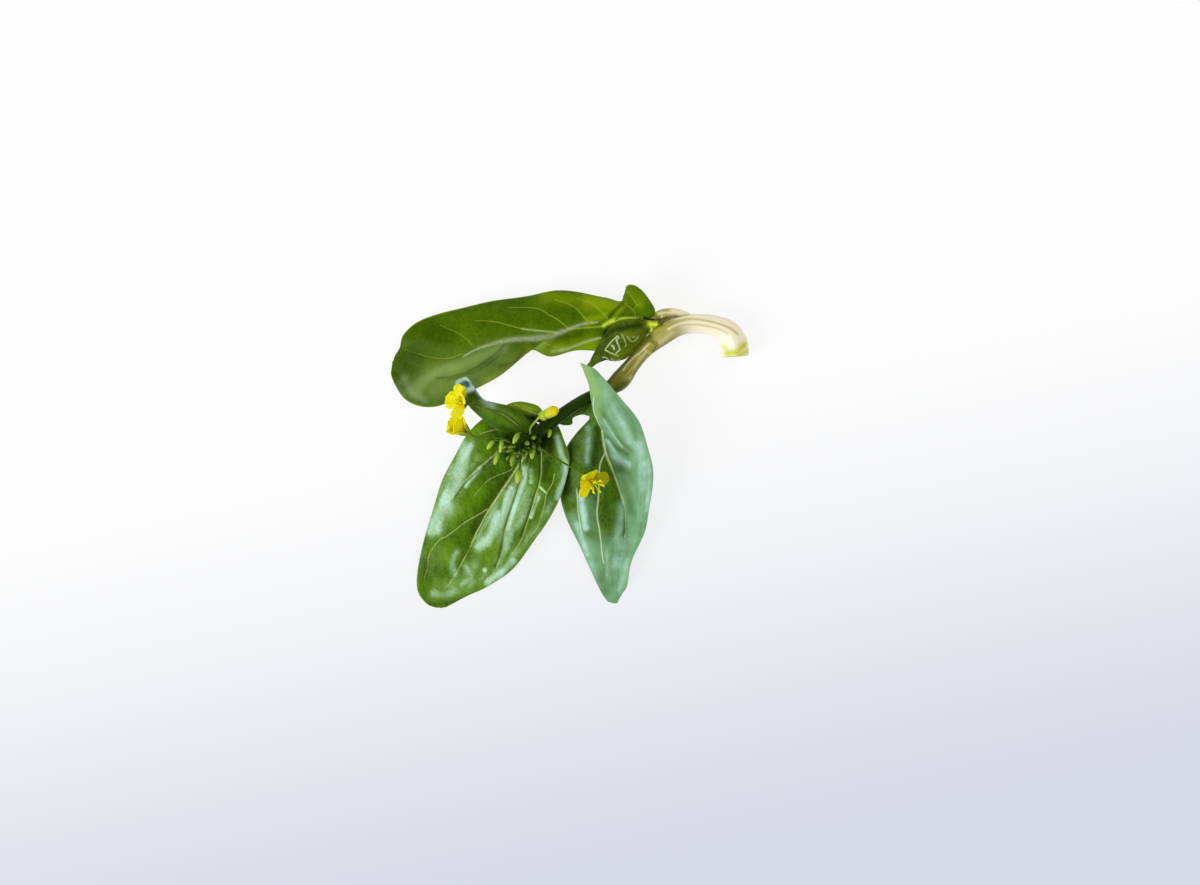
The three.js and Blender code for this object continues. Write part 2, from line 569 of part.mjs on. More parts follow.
LEAVES.forEach(({ name, colour, blades, stalk }) => {
  const solids = blades.map((spec) => blade(spec));
  if (stalk) {
    solids.push(tube(stalk));
  }
  const whole = fuse(solids);
  addPiece(group, name, mainBody(whole.subtract(stalkSpace)), material(colour, 0.35));
});

FLOWERS.forEach((flower) => {
  addPiece(group, flower.name, flowerSolid(flower), material(0xf0de06, 0.5));
});
const openingBud = tube({ route: OPENING_PETALS, radii: OPENING_RADII, sides: 10, steps: 6 });
addPiece(group, 'opening_bud', openingBud, material(0xe3cf12, 0.5));

export default group;
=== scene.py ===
import bpy
import numpy as np
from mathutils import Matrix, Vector


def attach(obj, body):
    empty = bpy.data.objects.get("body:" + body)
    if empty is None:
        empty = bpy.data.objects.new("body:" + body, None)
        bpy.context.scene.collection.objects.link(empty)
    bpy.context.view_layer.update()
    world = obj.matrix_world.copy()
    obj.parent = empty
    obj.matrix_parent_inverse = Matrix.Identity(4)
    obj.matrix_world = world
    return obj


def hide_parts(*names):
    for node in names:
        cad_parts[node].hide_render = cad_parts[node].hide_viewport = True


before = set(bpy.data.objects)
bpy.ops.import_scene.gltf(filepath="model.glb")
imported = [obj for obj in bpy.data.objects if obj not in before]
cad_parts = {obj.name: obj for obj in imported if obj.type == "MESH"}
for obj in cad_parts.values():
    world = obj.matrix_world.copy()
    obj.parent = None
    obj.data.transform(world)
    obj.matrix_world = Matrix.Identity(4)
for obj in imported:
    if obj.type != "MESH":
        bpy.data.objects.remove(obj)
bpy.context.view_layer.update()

# The camera looks straight down on the shoot, as the photograph does. One pixel of the photograph covers
# 0.42 mm at a height of 4 mm over the table, which follows from the real sizes of flowers, buds and stem.
MM = 0.001
PIXEL = 0.42 * MM
PICTURE_WIDTH = 1200
PICTURE_MIDDLE = np.array([600.0, 442.5])
ORIGIN_PIXEL = np.array([569.5, 448.0])
SCALE_HEIGHT = 4 * MM
CAMERA_DISTANCE = 1.0
SENSOR_WIDTH = 36.0

camera_x = (PICTURE_MIDDLE[0] - ORIGIN_PIXEL[0]) * PIXEL
camera_y = (ORIGIN_PIXEL[1] - PICTURE_MIDDLE[1]) * PIXEL
camera_data = bpy.data.cameras.new("camera")
camera_data.sensor_width = SENSOR_WIDTH
camera_data.lens = SENSOR_WIDTH * CAMERA_DISTANCE / (PIXEL * PICTURE_WIDTH)
camera_data.clip_start = 0.01
camera_data.clip_end = 20
camera = bpy.data.objects.new("camera", camera_data)
camera.location = (camera_x, camera_y, SCALE_HEIGHT + CAMERA_DISTANCE)
bpy.context.scene.collection.objects.link(camera)
bpy.context.scene.camera = camera
bpy.context.scene.view_settings.view_transform = "Standard"


def photo_pixels(points):
    """Where points of the shoot appear in the photograph, in its pixels."""
    reach = (SCALE_HEIGHT + CAMERA_DISTANCE - points[..., 2]) / CAMERA_DISTANCE * PIXEL
    right = PICTURE_MIDDLE[0] + (points[..., 0] - camera_x) / reach
    down = PICTURE_MIDDLE[1] - (points[..., 1] - camera_y) / reach
    return np.stack([right, down], axis=-1)


# The floor is a sheet of smooth white paper that takes a faint lavender tint to the lower right. A large
# soft box stands low on the left and towards the viewer, and the white room glows round the horizon.
FLOOR_SIZE = 6.0
FLOOR_DROP = 0.2 * MM
FLOOR_PAPER = "#5A5A5A"
FLOOR_FAR = "#FFFFFF"
FLOOR_NEAR = "#D2D5E4"
FLOOR_GLOW = 0.86
# Where the tint begins and is full, in metres towards the viewer, and how far that line slants
TINT_REACH = [0.03, -0.2]
TINT_SLANT = -0.2
KEY_PLACE = (-4.0, -2.3, 3.6)
KEY_SIZE = 3.6
KEY_POWER = 400.0
KEY_TINT = "#F6FAFF"
FILL_PLACE = (2.4, 1.6, 4.2)
FILL_SIZE = 4.0
FILL_POWER = 178.0
FILL_TINT = "#FFFDF6"
HORIZON = "#F4F5F8"
ZENITH = "#20242A"
HORIZON_BAND = [0.12, 0.5]


def linear(hex_colour):
    """Linear colour with alpha from an sRGB hex colour."""
    channels = np.array([int(hex_colour[i:i + 2], 16) / 255 for i in (1, 3, 5)])
    low = channels / 12.92
    high = ((channels + 0.055) / 1.055) ** 2.4
    return (*np.where(channels <= 0.04045, low, high).tolist(), 1.0)


def add(tree, kind, settings=None, **links):
    """Adds a node: settings gives its properties, and links its inputs, by name or by number after an
    underscore, each as a value, a hex colour or the socket that feeds it."""
    made = tree.nodes.new(kind)
    for key, value in (settings or {}).items():
        setattr(made, key, value)
    for key, value in links.items():
        socket = made.inputs[int(key[1:]) if key[0] == "_" else key.replace("_", " ")]
        if isinstance(value, bpy.types.NodeSocket):
            tree.links.new(value, socket)
        elif isinstance(value, str) and value[0] == "#":
            socket.default_value = linear(value)
        else:
            socket.default_value = value
    return made


def layered(tree, colour, layers):
    """A colour with others laid over it in turn, each given with the share that it covers."""
    for share, cover in layers:
        colour = add(tree, "ShaderNodeMix", {"data_type": "RGBA"}, _0=share, _6=colour, _7=cover).outputs[2]
    return colour


def new_material(name, masks=()):
    """An empty material, its tree, the place on the object, and the masks that it reads from the mesh."""
    made = bpy.data.materials.new(name)
    made.use_nodes = True
    tree = made.node_tree
    tree.nodes.clear()
    place = add(tree, "ShaderNodeTexCoord").outputs["Object"]
    value = {key: add(tree, "ShaderNodeAttribute", {"attribute_name": key}).outputs["Fac"] for key in masks}
    return made, tree, place, value


paper, tree, place, _ = new_material("white_paper")
split = add(tree, "ShaderNodeSeparateXYZ", Vector=place)
slant = add(tree, "ShaderNodeMath", {"operation": "MULTIPLY_ADD"}, _0=split.outputs["X"], _1=TINT_SLANT,
            _2=split.outputs["Y"])
nearness = add(tree, "ShaderNodeMapRange", {"interpolation_type": "SMOOTHSTEP"}, Value=slant.outputs[0],
               From_Min=TINT_REACH[0], From_Max=TINT_REACH[1])
tint = layered(tree, FLOOR_FAR, [(nearness.outputs["Result"], FLOOR_NEAR)])
sheet = add(tree, "ShaderNodeBsdfPrincipled", Base_Color=FLOOR_PAPER, Roughness=0.9, Specular_IOR_Level=0.1,
            Emission_Color=tint, Emission_Strength=FLOOR_GLOW)
add(tree, "ShaderNodeOutputMaterial", Surface=sheet.outputs["BSDF"])

half = FLOOR_SIZE / 2
floor_mesh = bpy.data.meshes.new("floor")
floor_corners = [(-half, -half, -FLOOR_DROP), (half, -half, -FLOOR_DROP), (half, half, -FLOOR_DROP),
                 (-half, half, -FLOOR_DROP)]
floor_mesh.from_pydata(floor_corners, [], [(0, 1, 2, 3)])
floor_mesh.materials.append(paper)
floor = bpy.data.objects.new("floor", floor_mesh)
bpy.context.scene.collection.objects.link(floor)


def soft_box(name, place, size, power, tint):
    """Square soft light that shines on the shoot."""
    data = bpy.data.lights.new(name, "AREA")
    data.shape = "SQUARE"
    data.size = size
    data.energy = power
    data.color = linear(tint)[:3]
    lamp = bpy.data.objects.new(name, data)
    lamp.location = place
    lamp.rotation_mode = "QUATERNION"
    lamp.rotation_quaternion = (-Vector(place)).to_track_quat("-Z", "Y")
    bpy.context.scene.collection.objects.link(lamp)
    return lamp


soft_box("key_light", KEY_PLACE, KEY_SIZE, KEY_POWER, KEY_TINT)
# The second soft box only fills the colours: it is kept out of the shine on the leaves
fill = soft_box("fill_light", FILL_PLACE, FILL_SIZE, FILL_POWER, FILL_TINT)
fill.visible_glossy = False

world = bpy.data.worlds.new("white_room")
bpy.context.scene.world = world
world.use_nodes = True
tree = world.node_tree
tree.nodes.clear()
heading = add(tree, "ShaderNodeTexCoord").outputs["Generated"]
rise = add(tree, "ShaderNodeSeparateXYZ", Vector=heading).outputs["Z"]
height = add(tree, "ShaderNodeMapRange", {"interpolation_type": "SMOOTHSTEP"}, Value=rise,
             From_Min=HORIZON_BAND[0], From_Max=HORIZON_BAND[1])
room = layered(tree, HORIZON, [(height.outputs["Result"], ZENITH)])
glow = add(tree, "ShaderNodeBackground", Color=room, Strength=1.0)
add(tree, "ShaderNodeOutputWorld", Surface=glow.outputs["Background"])


# The large leaf sweeps left from the stem. It is a thin, glossy, dark green blade: the midrib is the crest
# of it, near the base its right half stands up as an ear, and its left half is a lighter lobe.
LEAF_THICKNESS = 0.45 * MM
MARGIN_THICKNESS = 0.3 * MM
# The thin margin is lighter, between these two shares of the way from the midrib to the edge
MARGIN_SHARE = 0.6
MARGIN_BAND = [0.955, 0.99]
# The keel under a midrib: the share of the half blade that it covers, and what it loses towards the tip
KEEL_REACH = 0.07
KEEL_TAPER = 0.85
# Ribs of a blade from foot to tip: right edge, midrib, left edge, and how far its two halves swell
LARGE_LEAF = [
    [[35, 56, 13.6], [36, 54.5, 13.3], [36.5, 53, 12.6], 0, 0],
    [[35, 59, 17], [31.5, 54, 14], [30, 51.5, 12.3], 0.5, 0.2],
    [[29.5, 65.5, 20.5], [26.5, 54.5, 14.5], [23.5, 44.5, 10.5], 1, 0.8],
    [[24, 67.05, 21.5], [21, 54, 15], [15.5, 41, 9.5], 1, 1],
    [[22, 61, 14], [16.5, 51.5, 15], [8.5, 40.5, 9.5], 0.8, 1],
    [[15, 63, 10.5], [11.5, 50.5, 15], [1, 40.5, 10], 1.8, 1],
    [[4.5, 65, 8.5], [4.5, 50, 15], [-8, 38.5, 10.5], 2, 1],
    [[-6, 65.5, 8], [-2.5, 48.5, 15], [-15, 40.5, 10], 2, 0.5],
    [[-16.5, 64, 7.5], [-12.5, 46, 15], [-20, 38, 5.5], 2, 0],
    [[-29, 62, 7], [-25, 45, 14.5], [-30.5, 30, 4], 2, 1],
    [[-42, 59, 6.5], [-37, 43, 13], [-42, 23.5, 2.5], 2, 2],
    [[-54.5, 56.5, 5.5], [-47, 38.5, 10.5], [-54.5, 18, 0], 1.5, 2],
    [[-63.5, 53, 4.5], [-56, 38, 7], [-63.5, 18, -1.8], 1, 0.6],
    [[-69.5, 47.5, 3.5], [-65, 40, 4], [-70.5, 21.5, -2], 0.5, 0.2],
    [[-71.5, 42, 2.5], [-70.5, 41, 2.4], [-75, 30, -1.2], 0.1, 0.1],
    [[-72.5, 40, 1.6], [-73.5, 38.5, 1.2], [-74.5, 36.5, 0.6], 0, 0],
]
# Veins of the large leaf as traced in the photograph's pixels: width at the base and at the end, way points
LARGE_VEINS_PX = [
    (1.3, 0.9, [(640, 318), (615, 319.5), (607, 325), (600, 326.5), (585, 327.7), (568, 329)]),
    (0.5, 0.35, [(463, 354), (448, 358.5), (430, 357), (410, 351), (401, 348)]),
    (0.65, 0.4, [(593, 323), (586, 320), (577, 309.5), (565, 303), (555, 300)]),
    (0.6, 0.4, [(608, 319), (600, 311), (590, 303.5), (577, 299)]),
    (0.7, 0.4, [(567.5, 328), (560, 321.5), (549, 315), (536, 308.5), (508, 308)]),
    (0.7, 0.4, [(557, 333), (535, 330.5), (520, 328.5), (495, 322), (475, 321)]),
    (0.35, 0.3, [(474, 347), (464, 337), (455, 332), (440, 325)]),
    (0.7, 0.4, [(600, 338), (580, 344), (562, 351.5)]),
    (0.5, 0.35, [(541, 341), (550, 345), (563, 348)]),
    (0.7, 0.4, [(635.4, 314.6), (633.3, 310), (629.2, 306.7), (624.6, 303)]),
    (0.6, 0.35, [(636.7, 305), (634.2, 300.8), (630.8, 295.8), (627, 291)]),
    (0.5, 0.35, [(633.3, 310), (636.7, 305), (641, 303)]),
]
# The crest, as long folds that run into each other: half width at the start and at the end, way points.
# The first two also carry a painted highlight along the ridge.
LARGE_CREST_PX = [
    (0.9, 3.2, [(597, 322), (587, 323.3), (578, 325.6), (567, 329.7), (557, 333.6), (548, 336.4),
                (538, 338)]),
    (2.6, 0.7, [(538, 338), (520, 338.5), (505, 340.5), (495, 343), (485, 346), (475, 350), (464, 356)]),
    (1.4, 6.0, [(470, 352.5), (450, 363), (435, 371), (420, 380), (410, 390)]),
]
LARGE_CREST_RISE = 0.5 * MM
LARGE_CREST_SHEEN = 0.4
# Soft strokes of colour on the leaf: strength, half width and way points. The strip is its bare midrib.
# The light strokes are a lighter yellow-green, partly painted light: over the shadow beside the ear and
# on the lower half.
LARGE_LIGHT_PX = [
    (0.95, 9, [(617, 306), (602, 303), (588, 301)]),
    (0.45, 7, [(603, 304), (575, 299), (545, 296)]),
    (0.6, 5, [(607, 314), (597, 318), (588, 321)]),
    (0.75, 10, [(592, 346), (578, 348)]),
    (0.45, 4, [(641, 305), (637, 300)]),
    (0.6, 8, [(574, 350), (545, 347)]),
    (0.3, 8, [(640, 298), (630, 293)]),
    (0.6, 6, [(528, 350), (508, 366), (488, 381)]),
]
# Painted light on the lower half, which faces the light, and along the fold that crosses it
LARGE_PALE_PX = [
    (0.6, 1.8, [(552, 351.5), (560, 350), (567, 349)]),
    (0.5, 7.5, [(502, 349), (480, 357), (462, 365), (444, 370), (428, 378), (414, 391)]),
    (0.35, 5, [(478, 363), (462, 371), (446, 376)]),
    (0.28, 14, [(505, 358), (475, 374), (440, 390)]),
    (0.35, 4.5, [(404, 378), (398, 388), (404, 394)]),
    (0.35, 2.2, [(545, 342), (520, 362), (497, 374), (482, 380)]),
    (0.25, 6, [(470, 378), (448, 388)]),
]
LARGE_STRIP_PX = [(1.0, 1.7, [(641, 317.8), (622, 318.2), (613, 320.5), (604, 325.3)])]
# Painted sheen beside the crest and along the folds of the lower half
LARGE_SHEEN_PX = [
    (0.5, 1.3, [(560, 350.5), (572, 346.5), (585, 341.5), (600, 337.5)]),
    (0.3, 2.0, [(522, 361), (505, 373), (484, 385)]),
    (0.2, 4.5, [(405, 380), (412, 392), (424, 400)]),
    (0.4, 1.0, [(557, 332.5), (535, 330.5), (522, 329)]),
]
# Painted shade under the pointed leaf by the stem, along the creases, at the ear's edge and over the tip
LARGE_DARK_PX = [
    (0.45, 1.3, [(504, 344), (498, 351), (490, 357.5), (478, 366), (465, 372), (450, 376.5), (437, 378)]),
    (0.4, 15, [(440, 338), (420, 346), (404, 364), (402, 380)]),
    (1.0, 3.8, [(652, 321), (641, 325), (630, 326.5), (618, 328), (606, 332)]),
    (0.7, 2.5, [(623, 303), (617, 310), (609, 317)]),
    (0.35, 1.3, [(503, 349), (494, 358.5), (481, 368), (464, 374.5), (449, 379)]),
    (0.35, 2.5, [(524, 348), (514, 360), (500, 366)]),
    (0.4, 4.0, [(580, 334), (560, 339), (548, 348)]),
    (0.4, 3.0, [(621, 315), (627, 307)]),
    (0.35, 12, [(428, 338), (420, 352)]),
]


def smooth_line(points, shares):
    """Smooth line through the points, read at shares from 0 at the first point to 1 at the last."""
    points = np.asarray(points, float)
    padded = np.vstack([2 * points[0] - points[1], points, 2 * points[-1] - points[-2]])
    place = np.clip(shares, 0, 1) * (len(points) - 1)
    i = np.minimum(place.astype(int), len(points) - 2)
    w = (place - i)[..., None]
    before, start, end, after = padded[i], padded[i + 1], padded[i + 2], padded[i + 3]
    leave = (end - before) / 2
    arrive = (after - start) / 2
    bend = 3 * (end - start) - 2 * leave - arrive
    twist = 2 * (start - end) + leave + arrive
    return start + w * (leave + w * (bend + w * twist))


def soft_step(value, start, end):
    """0 before start, 1 after end and smooth between."""
    share = np.clip((value - start) / (end - start), 0, 1)
    return share * share * (3 - 2 * share)


def nearest(places, line, steps=6):
    """Distance from each place to a smooth line, and the share of the line where it is nearest."""
    line = np.asarray(line, float)
    if len(line) > 1:
        line = smooth_line(line, np.linspace(0, 1, (len(line) - 1) * steps + 1))
    else:
        # A spot is a line of hardly any length
        line = np.vstack([line, line + 0.01])
    best = np.full(places.shape[:-1], 1e9)
    share = np.zeros(places.shape[:-1])
    for i in range(len(line) - 1):
        run = line[i + 1] - line[i]
        along = np.clip(((places - line[i]) @ run) / (run @ run), 0, 1)
        gap = np.linalg.norm(places - line[i] - along[..., None] * run, axis=-1)
        closer = gap < best
        best = np.where(closer, gap, best)
        share = np.where(closer, (i + along) / (len(line) - 1), share)
    return best, share


def strokes(places, marks):
    """Strength at each place of soft strokes, each given as strength, half width and way points."""
    total = np.zeros(places.shape[:-1])
    for strength, width, line in marks:
        gap, _ = nearest(places, line)
        total = np.maximum(total, strength * np.exp(-(gap / width) ** 2))
    return total


def uneven(places, width, seed):
    """Gentle random unevenness, mostly from -1 to 1, with waves of about the given width."""
    chance = np.random.default_rng(seed)
    total = np.zeros(places.shape[:-1])
    for _ in range(10):
        heading = chance.uniform(0, 2 * np.pi)
        along = places[..., 0] * np.cos(heading) + places[..., 1] * np.sin(heading)
        total += np.sin(2 * np.pi * along / (width * chance.uniform(0.6, 1.7)) + chance.uniform(0, 2 * np.pi))
    return total / 3


def vein_pattern(places, veins):
    """How much each place lies on a vein, from 0 to 1, and its distance from the nearest vein in metres."""
    mask = np.zeros(places.shape[:-1])
    distance = np.full(places.shape[:-1], 1e9)
    for first, last, line in veins:
        gap, share = nearest(places, line)
        width = first + (last - first) * share
        mask = np.maximum(mask, np.exp(-(gap / width) ** 2))
        distance = np.minimum(distance, gap * PIXEL)
    return mask, distance


def grid_part(top, bottom, masks):
    """Closed thin sheet from two grids of points, of odd size; the under face takes every second point."""
    bottom = bottom[::2, ::2]
    over = np.arange(top.shape[0] * top.shape[1]).reshape(top.shape[:2])
    under = np.arange(bottom.shape[0] * bottom.shape[1]).reshape(bottom.shape[:2]) + over.size
    faces = np.stack([over[:-1, :-1], over[1:, :-1], over[1:, 1:], over[:-1, 1:]], -1).reshape(-1, 4).tolist()
    faces += np.stack([under[:-1, :-1], under[:-1, 1:], under[1:, 1:], under[1:, :-1]],
                      -1).reshape(-1, 4).tolist()
    rims = [(over[::-1, 0], under[::-1, 0]), (over[-1, ::-1], under[-1, ::-1]), (over[:, -1], under[:, -1]),
            (over[0], under[0])]
    for edge, low_edge in rims:
        faces += np.stack([edge[:-2:2], edge[1:-1:2], edge[2::2], low_edge[1:], low_edge[:-1]], -1).tolist()
    values = {key: np.concatenate([value.ravel(), value[::2, ::2].ravel()]) for key, value in masks.items()}
    values["under"] = np.concatenate([np.zeros(over.size), np.ones(under.size)])
    return {"points": np.concatenate([top.reshape(-1, 3), bottom.reshape(-1, 3)]), "faces": faces,
            "masks": values}


def blade_surface(ribs, rows, columns, waves=0.0, wave=0.0):
    """Middle surface of a blade on its ribs, as the solid has it: points, shares along and across."""
    t, u = np.meshgrid(np.linspace(0, 1, rows), np.linspace(-1, 1, columns), indexing="ij")
    a = np.abs(u)
    rails = [smooth_line([rib[k] for rib in ribs], t) for k in range(3)]
    right_swell, left_swell = [smooth_line([[rib[k]] for rib in ribs], t)[..., 0] for k in (3, 4)]
    side = np.where((u < 0)[..., None], rails[0], rails[2]) - rails[1]
    ahead = np.gradient(rails[1], axis=0)
    up = np.where((u < 0)[..., None], np.cross(side, ahead), np.cross(ahead, side))
    up = up / np.maximum(np.linalg.norm(up, axis=-1, keepdims=True), 1e-9)
    swell = 4 * np.where(u < 0, right_swell, left_swell) * a * (1 - a)
    flutter = wave * a ** 3 * np.sin(2 * np.pi * waves * t + np.where(u < 0, 0, 2))
    points = rails[1] + side * a[..., None] + up * (swell + flutter)[..., None]
    return points * MM, t, u


def surface_normals(points):
    """Unit normals of a grid of points, towards the upper face."""
    normals = np.cross(np.gradient(points, axis=0), np.gradient(points, axis=1))
    return normals / np.maximum(np.linalg.norm(normals, axis=-1, keepdims=True), 1e-12)


def blade_part(ribs, rows, columns, masks, relief=None, waves=0.0, wave=0.0, thickness=LEAF_THICKNESS,
               margin=MARGIN_THICKNESS, keel=0.0):
    """Fine blade: masks(pixels, t, u) gives its values, relief(pixels, t, u) lifts its surface in metres."""
    middle, t, u = blade_surface(ribs, rows, columns, waves, wave)
    pixels = photo_pixels(middle)
    if relief:
        middle = middle + surface_normals(middle) * relief(pixels, t, u)[..., None]
    normals = surface_normals(middle)
    a = np.abs(u)
    depth = (thickness + (margin - thickness) * a ** 2) / 2
    ridge = keel * (1 - KEEL_TAPER * t) * np.exp(-(a / KEEL_REACH) ** 2)
    top = middle + normals * depth[..., None]
    bottom = middle - normals * (depth + ridge)[..., None]
    bottom[..., 2] = np.maximum(bottom[..., 2], 0.0)
    top[..., 2] = np.maximum(top[..., 2], 2 * depth)
    values = masks(pixels, t, u)
    if "light" in values:
        values["light"] = np.maximum(values["light"], MARGIN_SHARE * soft_step(a, *MARGIN_BAND))
    return grid_part(top, bottom, values)


def make_piece(name, parts, finish):
    """One smooth mesh object out of closed parts, with the masks that they share as vertex attributes."""
    points = np.concatenate([part["points"] for part in parts])
    faces = []
    start = 0
    for part in parts:
        faces.extend([[corner + start for corner in face] for face in part["faces"]])
        start += len(part["points"])
    mesh = bpy.data.meshes.new(name)
    mesh.from_pydata(points.tolist(), [], faces)
    mesh.shade_smooth()
    for key in parts[0]["masks"]:
        if all(key in part["masks"] for part in parts):
            attribute = mesh.attributes.new(key, "FLOAT", "POINT")
            values = np.concatenate([part["masks"][key] for part in parts])
            attribute.data.foreach_set("value", values.astype(np.float32))
    mesh.materials.append(finish)
    piece = bpy.data.objects.new(name, mesh)
    bpy.context.scene.collection.objects.link(piece)
    return piece


# Leaf skin is a waxy cuticle over green tissue: glossy, with pale veins and a fine net of veinlets about 2 mm
# wide. Strokes lay on it a bluish painted sheen, partly its own bloom of wax, and painted shade.
# These are the real sizes of its patterns.
VEINLET_CELL = 2.2 * MM
BLOTCH = 9.1 * MM
GRAIN = 0.6 * MM
SPECKLE = 1.1 * MM
BUMP_DEPTH = 0.1 * MM
LEAF_ROUGHNESS = [0.35, 0.55]
LEAF_SHINE = "#C8EBA0"


def finish_skin(tree, colour, relief, strength, depth=BUMP_DEPTH, **surface):
    """Ends a skin: its colour, its fine relief, and its surface by the names of the shader's sockets."""
    bump = add(tree, "ShaderNodeBump", Height=relief, Strength=strength, Distance=depth)
    skin = add(tree, "ShaderNodeBsdfPrincipled", Base_Color=colour, Normal=bump.outputs["Normal"], **surface)
    add(tree, "ShaderNodeOutputMaterial", Surface=skin.outputs["BSDF"])


def leaf_skin(name, deep, fresh, light, vein, under, coat, gloss, pale="#71903C", bloom="#A9CBD0", thin_sheen="",
              dark="#1B2A05", speckled=0.3, blistered=0.5):
    """Material of a leaf from its hex colours, among them painted sheen, thin and full, and painted shade."""
    made, tree, place, value = new_material(name, ["light", "pale", "bloom", "vein", "dark", "under"])
    warp = add(tree, "ShaderNodeTexNoise", Vector=place, Scale=0.35 / VEINLET_CELL, Detail=2.0)
    bent = add(tree, "ShaderNodeVectorMath", {"operation": "MULTIPLY_ADD"}, _0=warp.outputs["Color"],
               _1=(0.8 * VEINLET_CELL,) * 3, _2=place)
    net = add(tree, "ShaderNodeTexVoronoi", {"feature": "DISTANCE_TO_EDGE"}, Vector=bent.outputs[0],
              Scale=1 / VEINLET_CELL)
    line = add(tree, "ShaderNodeMapRange", {"interpolation_type": "SMOOTHSTEP"},
               Value=net.outputs["Distance"], From_Min=0.0, From_Max=0.16, To_Min=0.04, To_Max=0.0)
    blotch = add(tree, "ShaderNodeTexNoise", Vector=place, Scale=1 / BLOTCH, Detail=4.0, Roughness=0.6)
    tone = add(tree, "ShaderNodeMapRange", Value=blotch.outputs["Fac"], From_Min=0.35, From_Max=0.65)
    speckle = add(tree, "ShaderNodeTexNoise", Vector=place, Scale=1 / SPECKLE, Detail=2.0, Roughness=0.6)
    spotted = add(tree, "ShaderNodeMapRange", {"interpolation_type": "SMOOTHSTEP"},
                  Value=speckle.outputs["Fac"], From_Min=0.36, From_Max=0.6, To_Min=1 - speckled, To_Max=1.0)
    wax_and_sheen = add(tree, "ShaderNodeMath", {"operation": "MULTIPLY"}, _0=value["bloom"],
                _1=spotted.outputs["Result"])
    thin = add(tree, "ShaderNodeMapRange", Value=wax_and_sheen.outputs[0], From_Max=0.8)
    thick = add(tree, "ShaderNodeMapRange", Value=wax_and_sheen.outputs[0], From_Min=0.25, From_Max=1.0)
    # The strokes lay lighter greens, partly painted light, then painted sheen, thin and full, and painted
    # shade
    colour = layered(tree, deep, [
        (tone.outputs["Result"], fresh), (line.outputs["Result"], vein), (value["light"], light),
        (value["pale"], pale), (thin.outputs["Result"], thin_sheen or bloom), (thick.outputs["Result"], bloom),
        (value["dark"], dark), (value["vein"], vein), (value["under"], under)])
    grain = add(tree, "ShaderNodeTexNoise", Vector=place, Scale=1 / GRAIN, Detail=3.0)
    rough = add(tree, "ShaderNodeMapRange", Value=grain.outputs["Fac"], To_Min=LEAF_ROUGHNESS[0],
                To_Max=LEAF_ROUGHNESS[1])
    blister = add(tree, "ShaderNodeMapRange", {"interpolation_type": "SMOOTHSTEP"},
                  Value=net.outputs["Distance"], From_Min=0.0, From_Max=0.35, To_Max=4 * blistered)
    relief = add(tree, "ShaderNodeMath", {"operation": "ADD"}, _0=blister.outputs["Result"],
                 _1=grain.outputs["Fac"])
    finish_skin(tree, colour, relief.outputs[0], 0.4, Roughness=rough.outputs["Result"],
                Specular_IOR_Level=gloss, Specular_Tint=LEAF_SHINE, Coat_Weight=coat, Coat_Roughness=0.2)
    return made


def inland(u):
    """1 over the blade, falling to 0 at its two edges."""
    return 1 - np.abs(u) ** 6


def leaf_relief(pixels, u, veins, bulge, reach, vein_rise, swells):
    """Height of the skin in metres: bulges between its veins, and swells of a height, width and seed."""
    mask, distance = vein_pattern(pixels, veins)
    height = bulge * (1 - np.exp(-distance / reach)) * inland(u) + vein_rise * mask
    for swell, width, seed in swells:
        height = height + swell * uneven(pixels, width, seed) * inland(u)
    return height


def leaf_masks(pixels, veins=(), vein_share=1.0, light=(), pale=(), bloom=(), dark=()):
    """Leaf values at each place: veins and soft strokes of colour, painted light and shade among them."""
    return {"vein": vein_pattern(pixels, veins)[0] * vein_share, "light": strokes(pixels, light),
            "pale": strokes(pixels, pale), "bloom": strokes(pixels, bloom), "dark": strokes(pixels, dark)}


def large_relief(pixels, t, u):
    skin = leaf_relief(pixels, u, LARGE_VEINS_PX, bulge=0.5 * MM, reach=3.5 * MM, vein_rise=-0.15 * MM,
                       swells=[(0.12 * MM, 26, 6)])
    crest = LARGE_CREST_RISE * vein_pattern(pixels, LARGE_CREST_PX)[0]
    return skin + crest + MM * strokes(pixels, LARGE_STRIP_PX)


def large_masks(pixels, t, u):
    masks = leaf_masks(pixels, LARGE_VEINS_PX, 0.45, LARGE_LIGHT_PX, LARGE_PALE_PX, LARGE_SHEEN_PX,
                       LARGE_DARK_PX)
    # The ridge of the crest carries a painted highlight
    crest = vein_pattern(pixels, LARGE_CREST_PX[:2])[0]
    masks["bloom"] = np.maximum(masks["bloom"], LARGE_CREST_SHEEN * crest)
    masks["vein"] = np.maximum(masks["vein"], strokes(pixels, LARGE_STRIP_PX))
    return masks


# Its grey-green is painted light, its greyish sheen colour painted sheen, and its near-black painted shade
large_skin = leaf_skin("glossy_leaf_large", deep="#395302", fresh="#4A6805", light="#839A06", pale="#86A05C",
                       bloom="#A9B288", vein="#B5C840", under="#5D7923", dark="#141F03", coat=0.02,
                       gloss=0.02, blistered=0.2)
large_blade = blade_part(LARGE_LEAF, 421, 187, large_masks, large_relief, waves=5, wave=0.8, keel=1.0 * MM)
leaf_large = make_piece("large_leaf", [large_blade], large_skin)
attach(leaf_large, "root")
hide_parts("leaf_large")


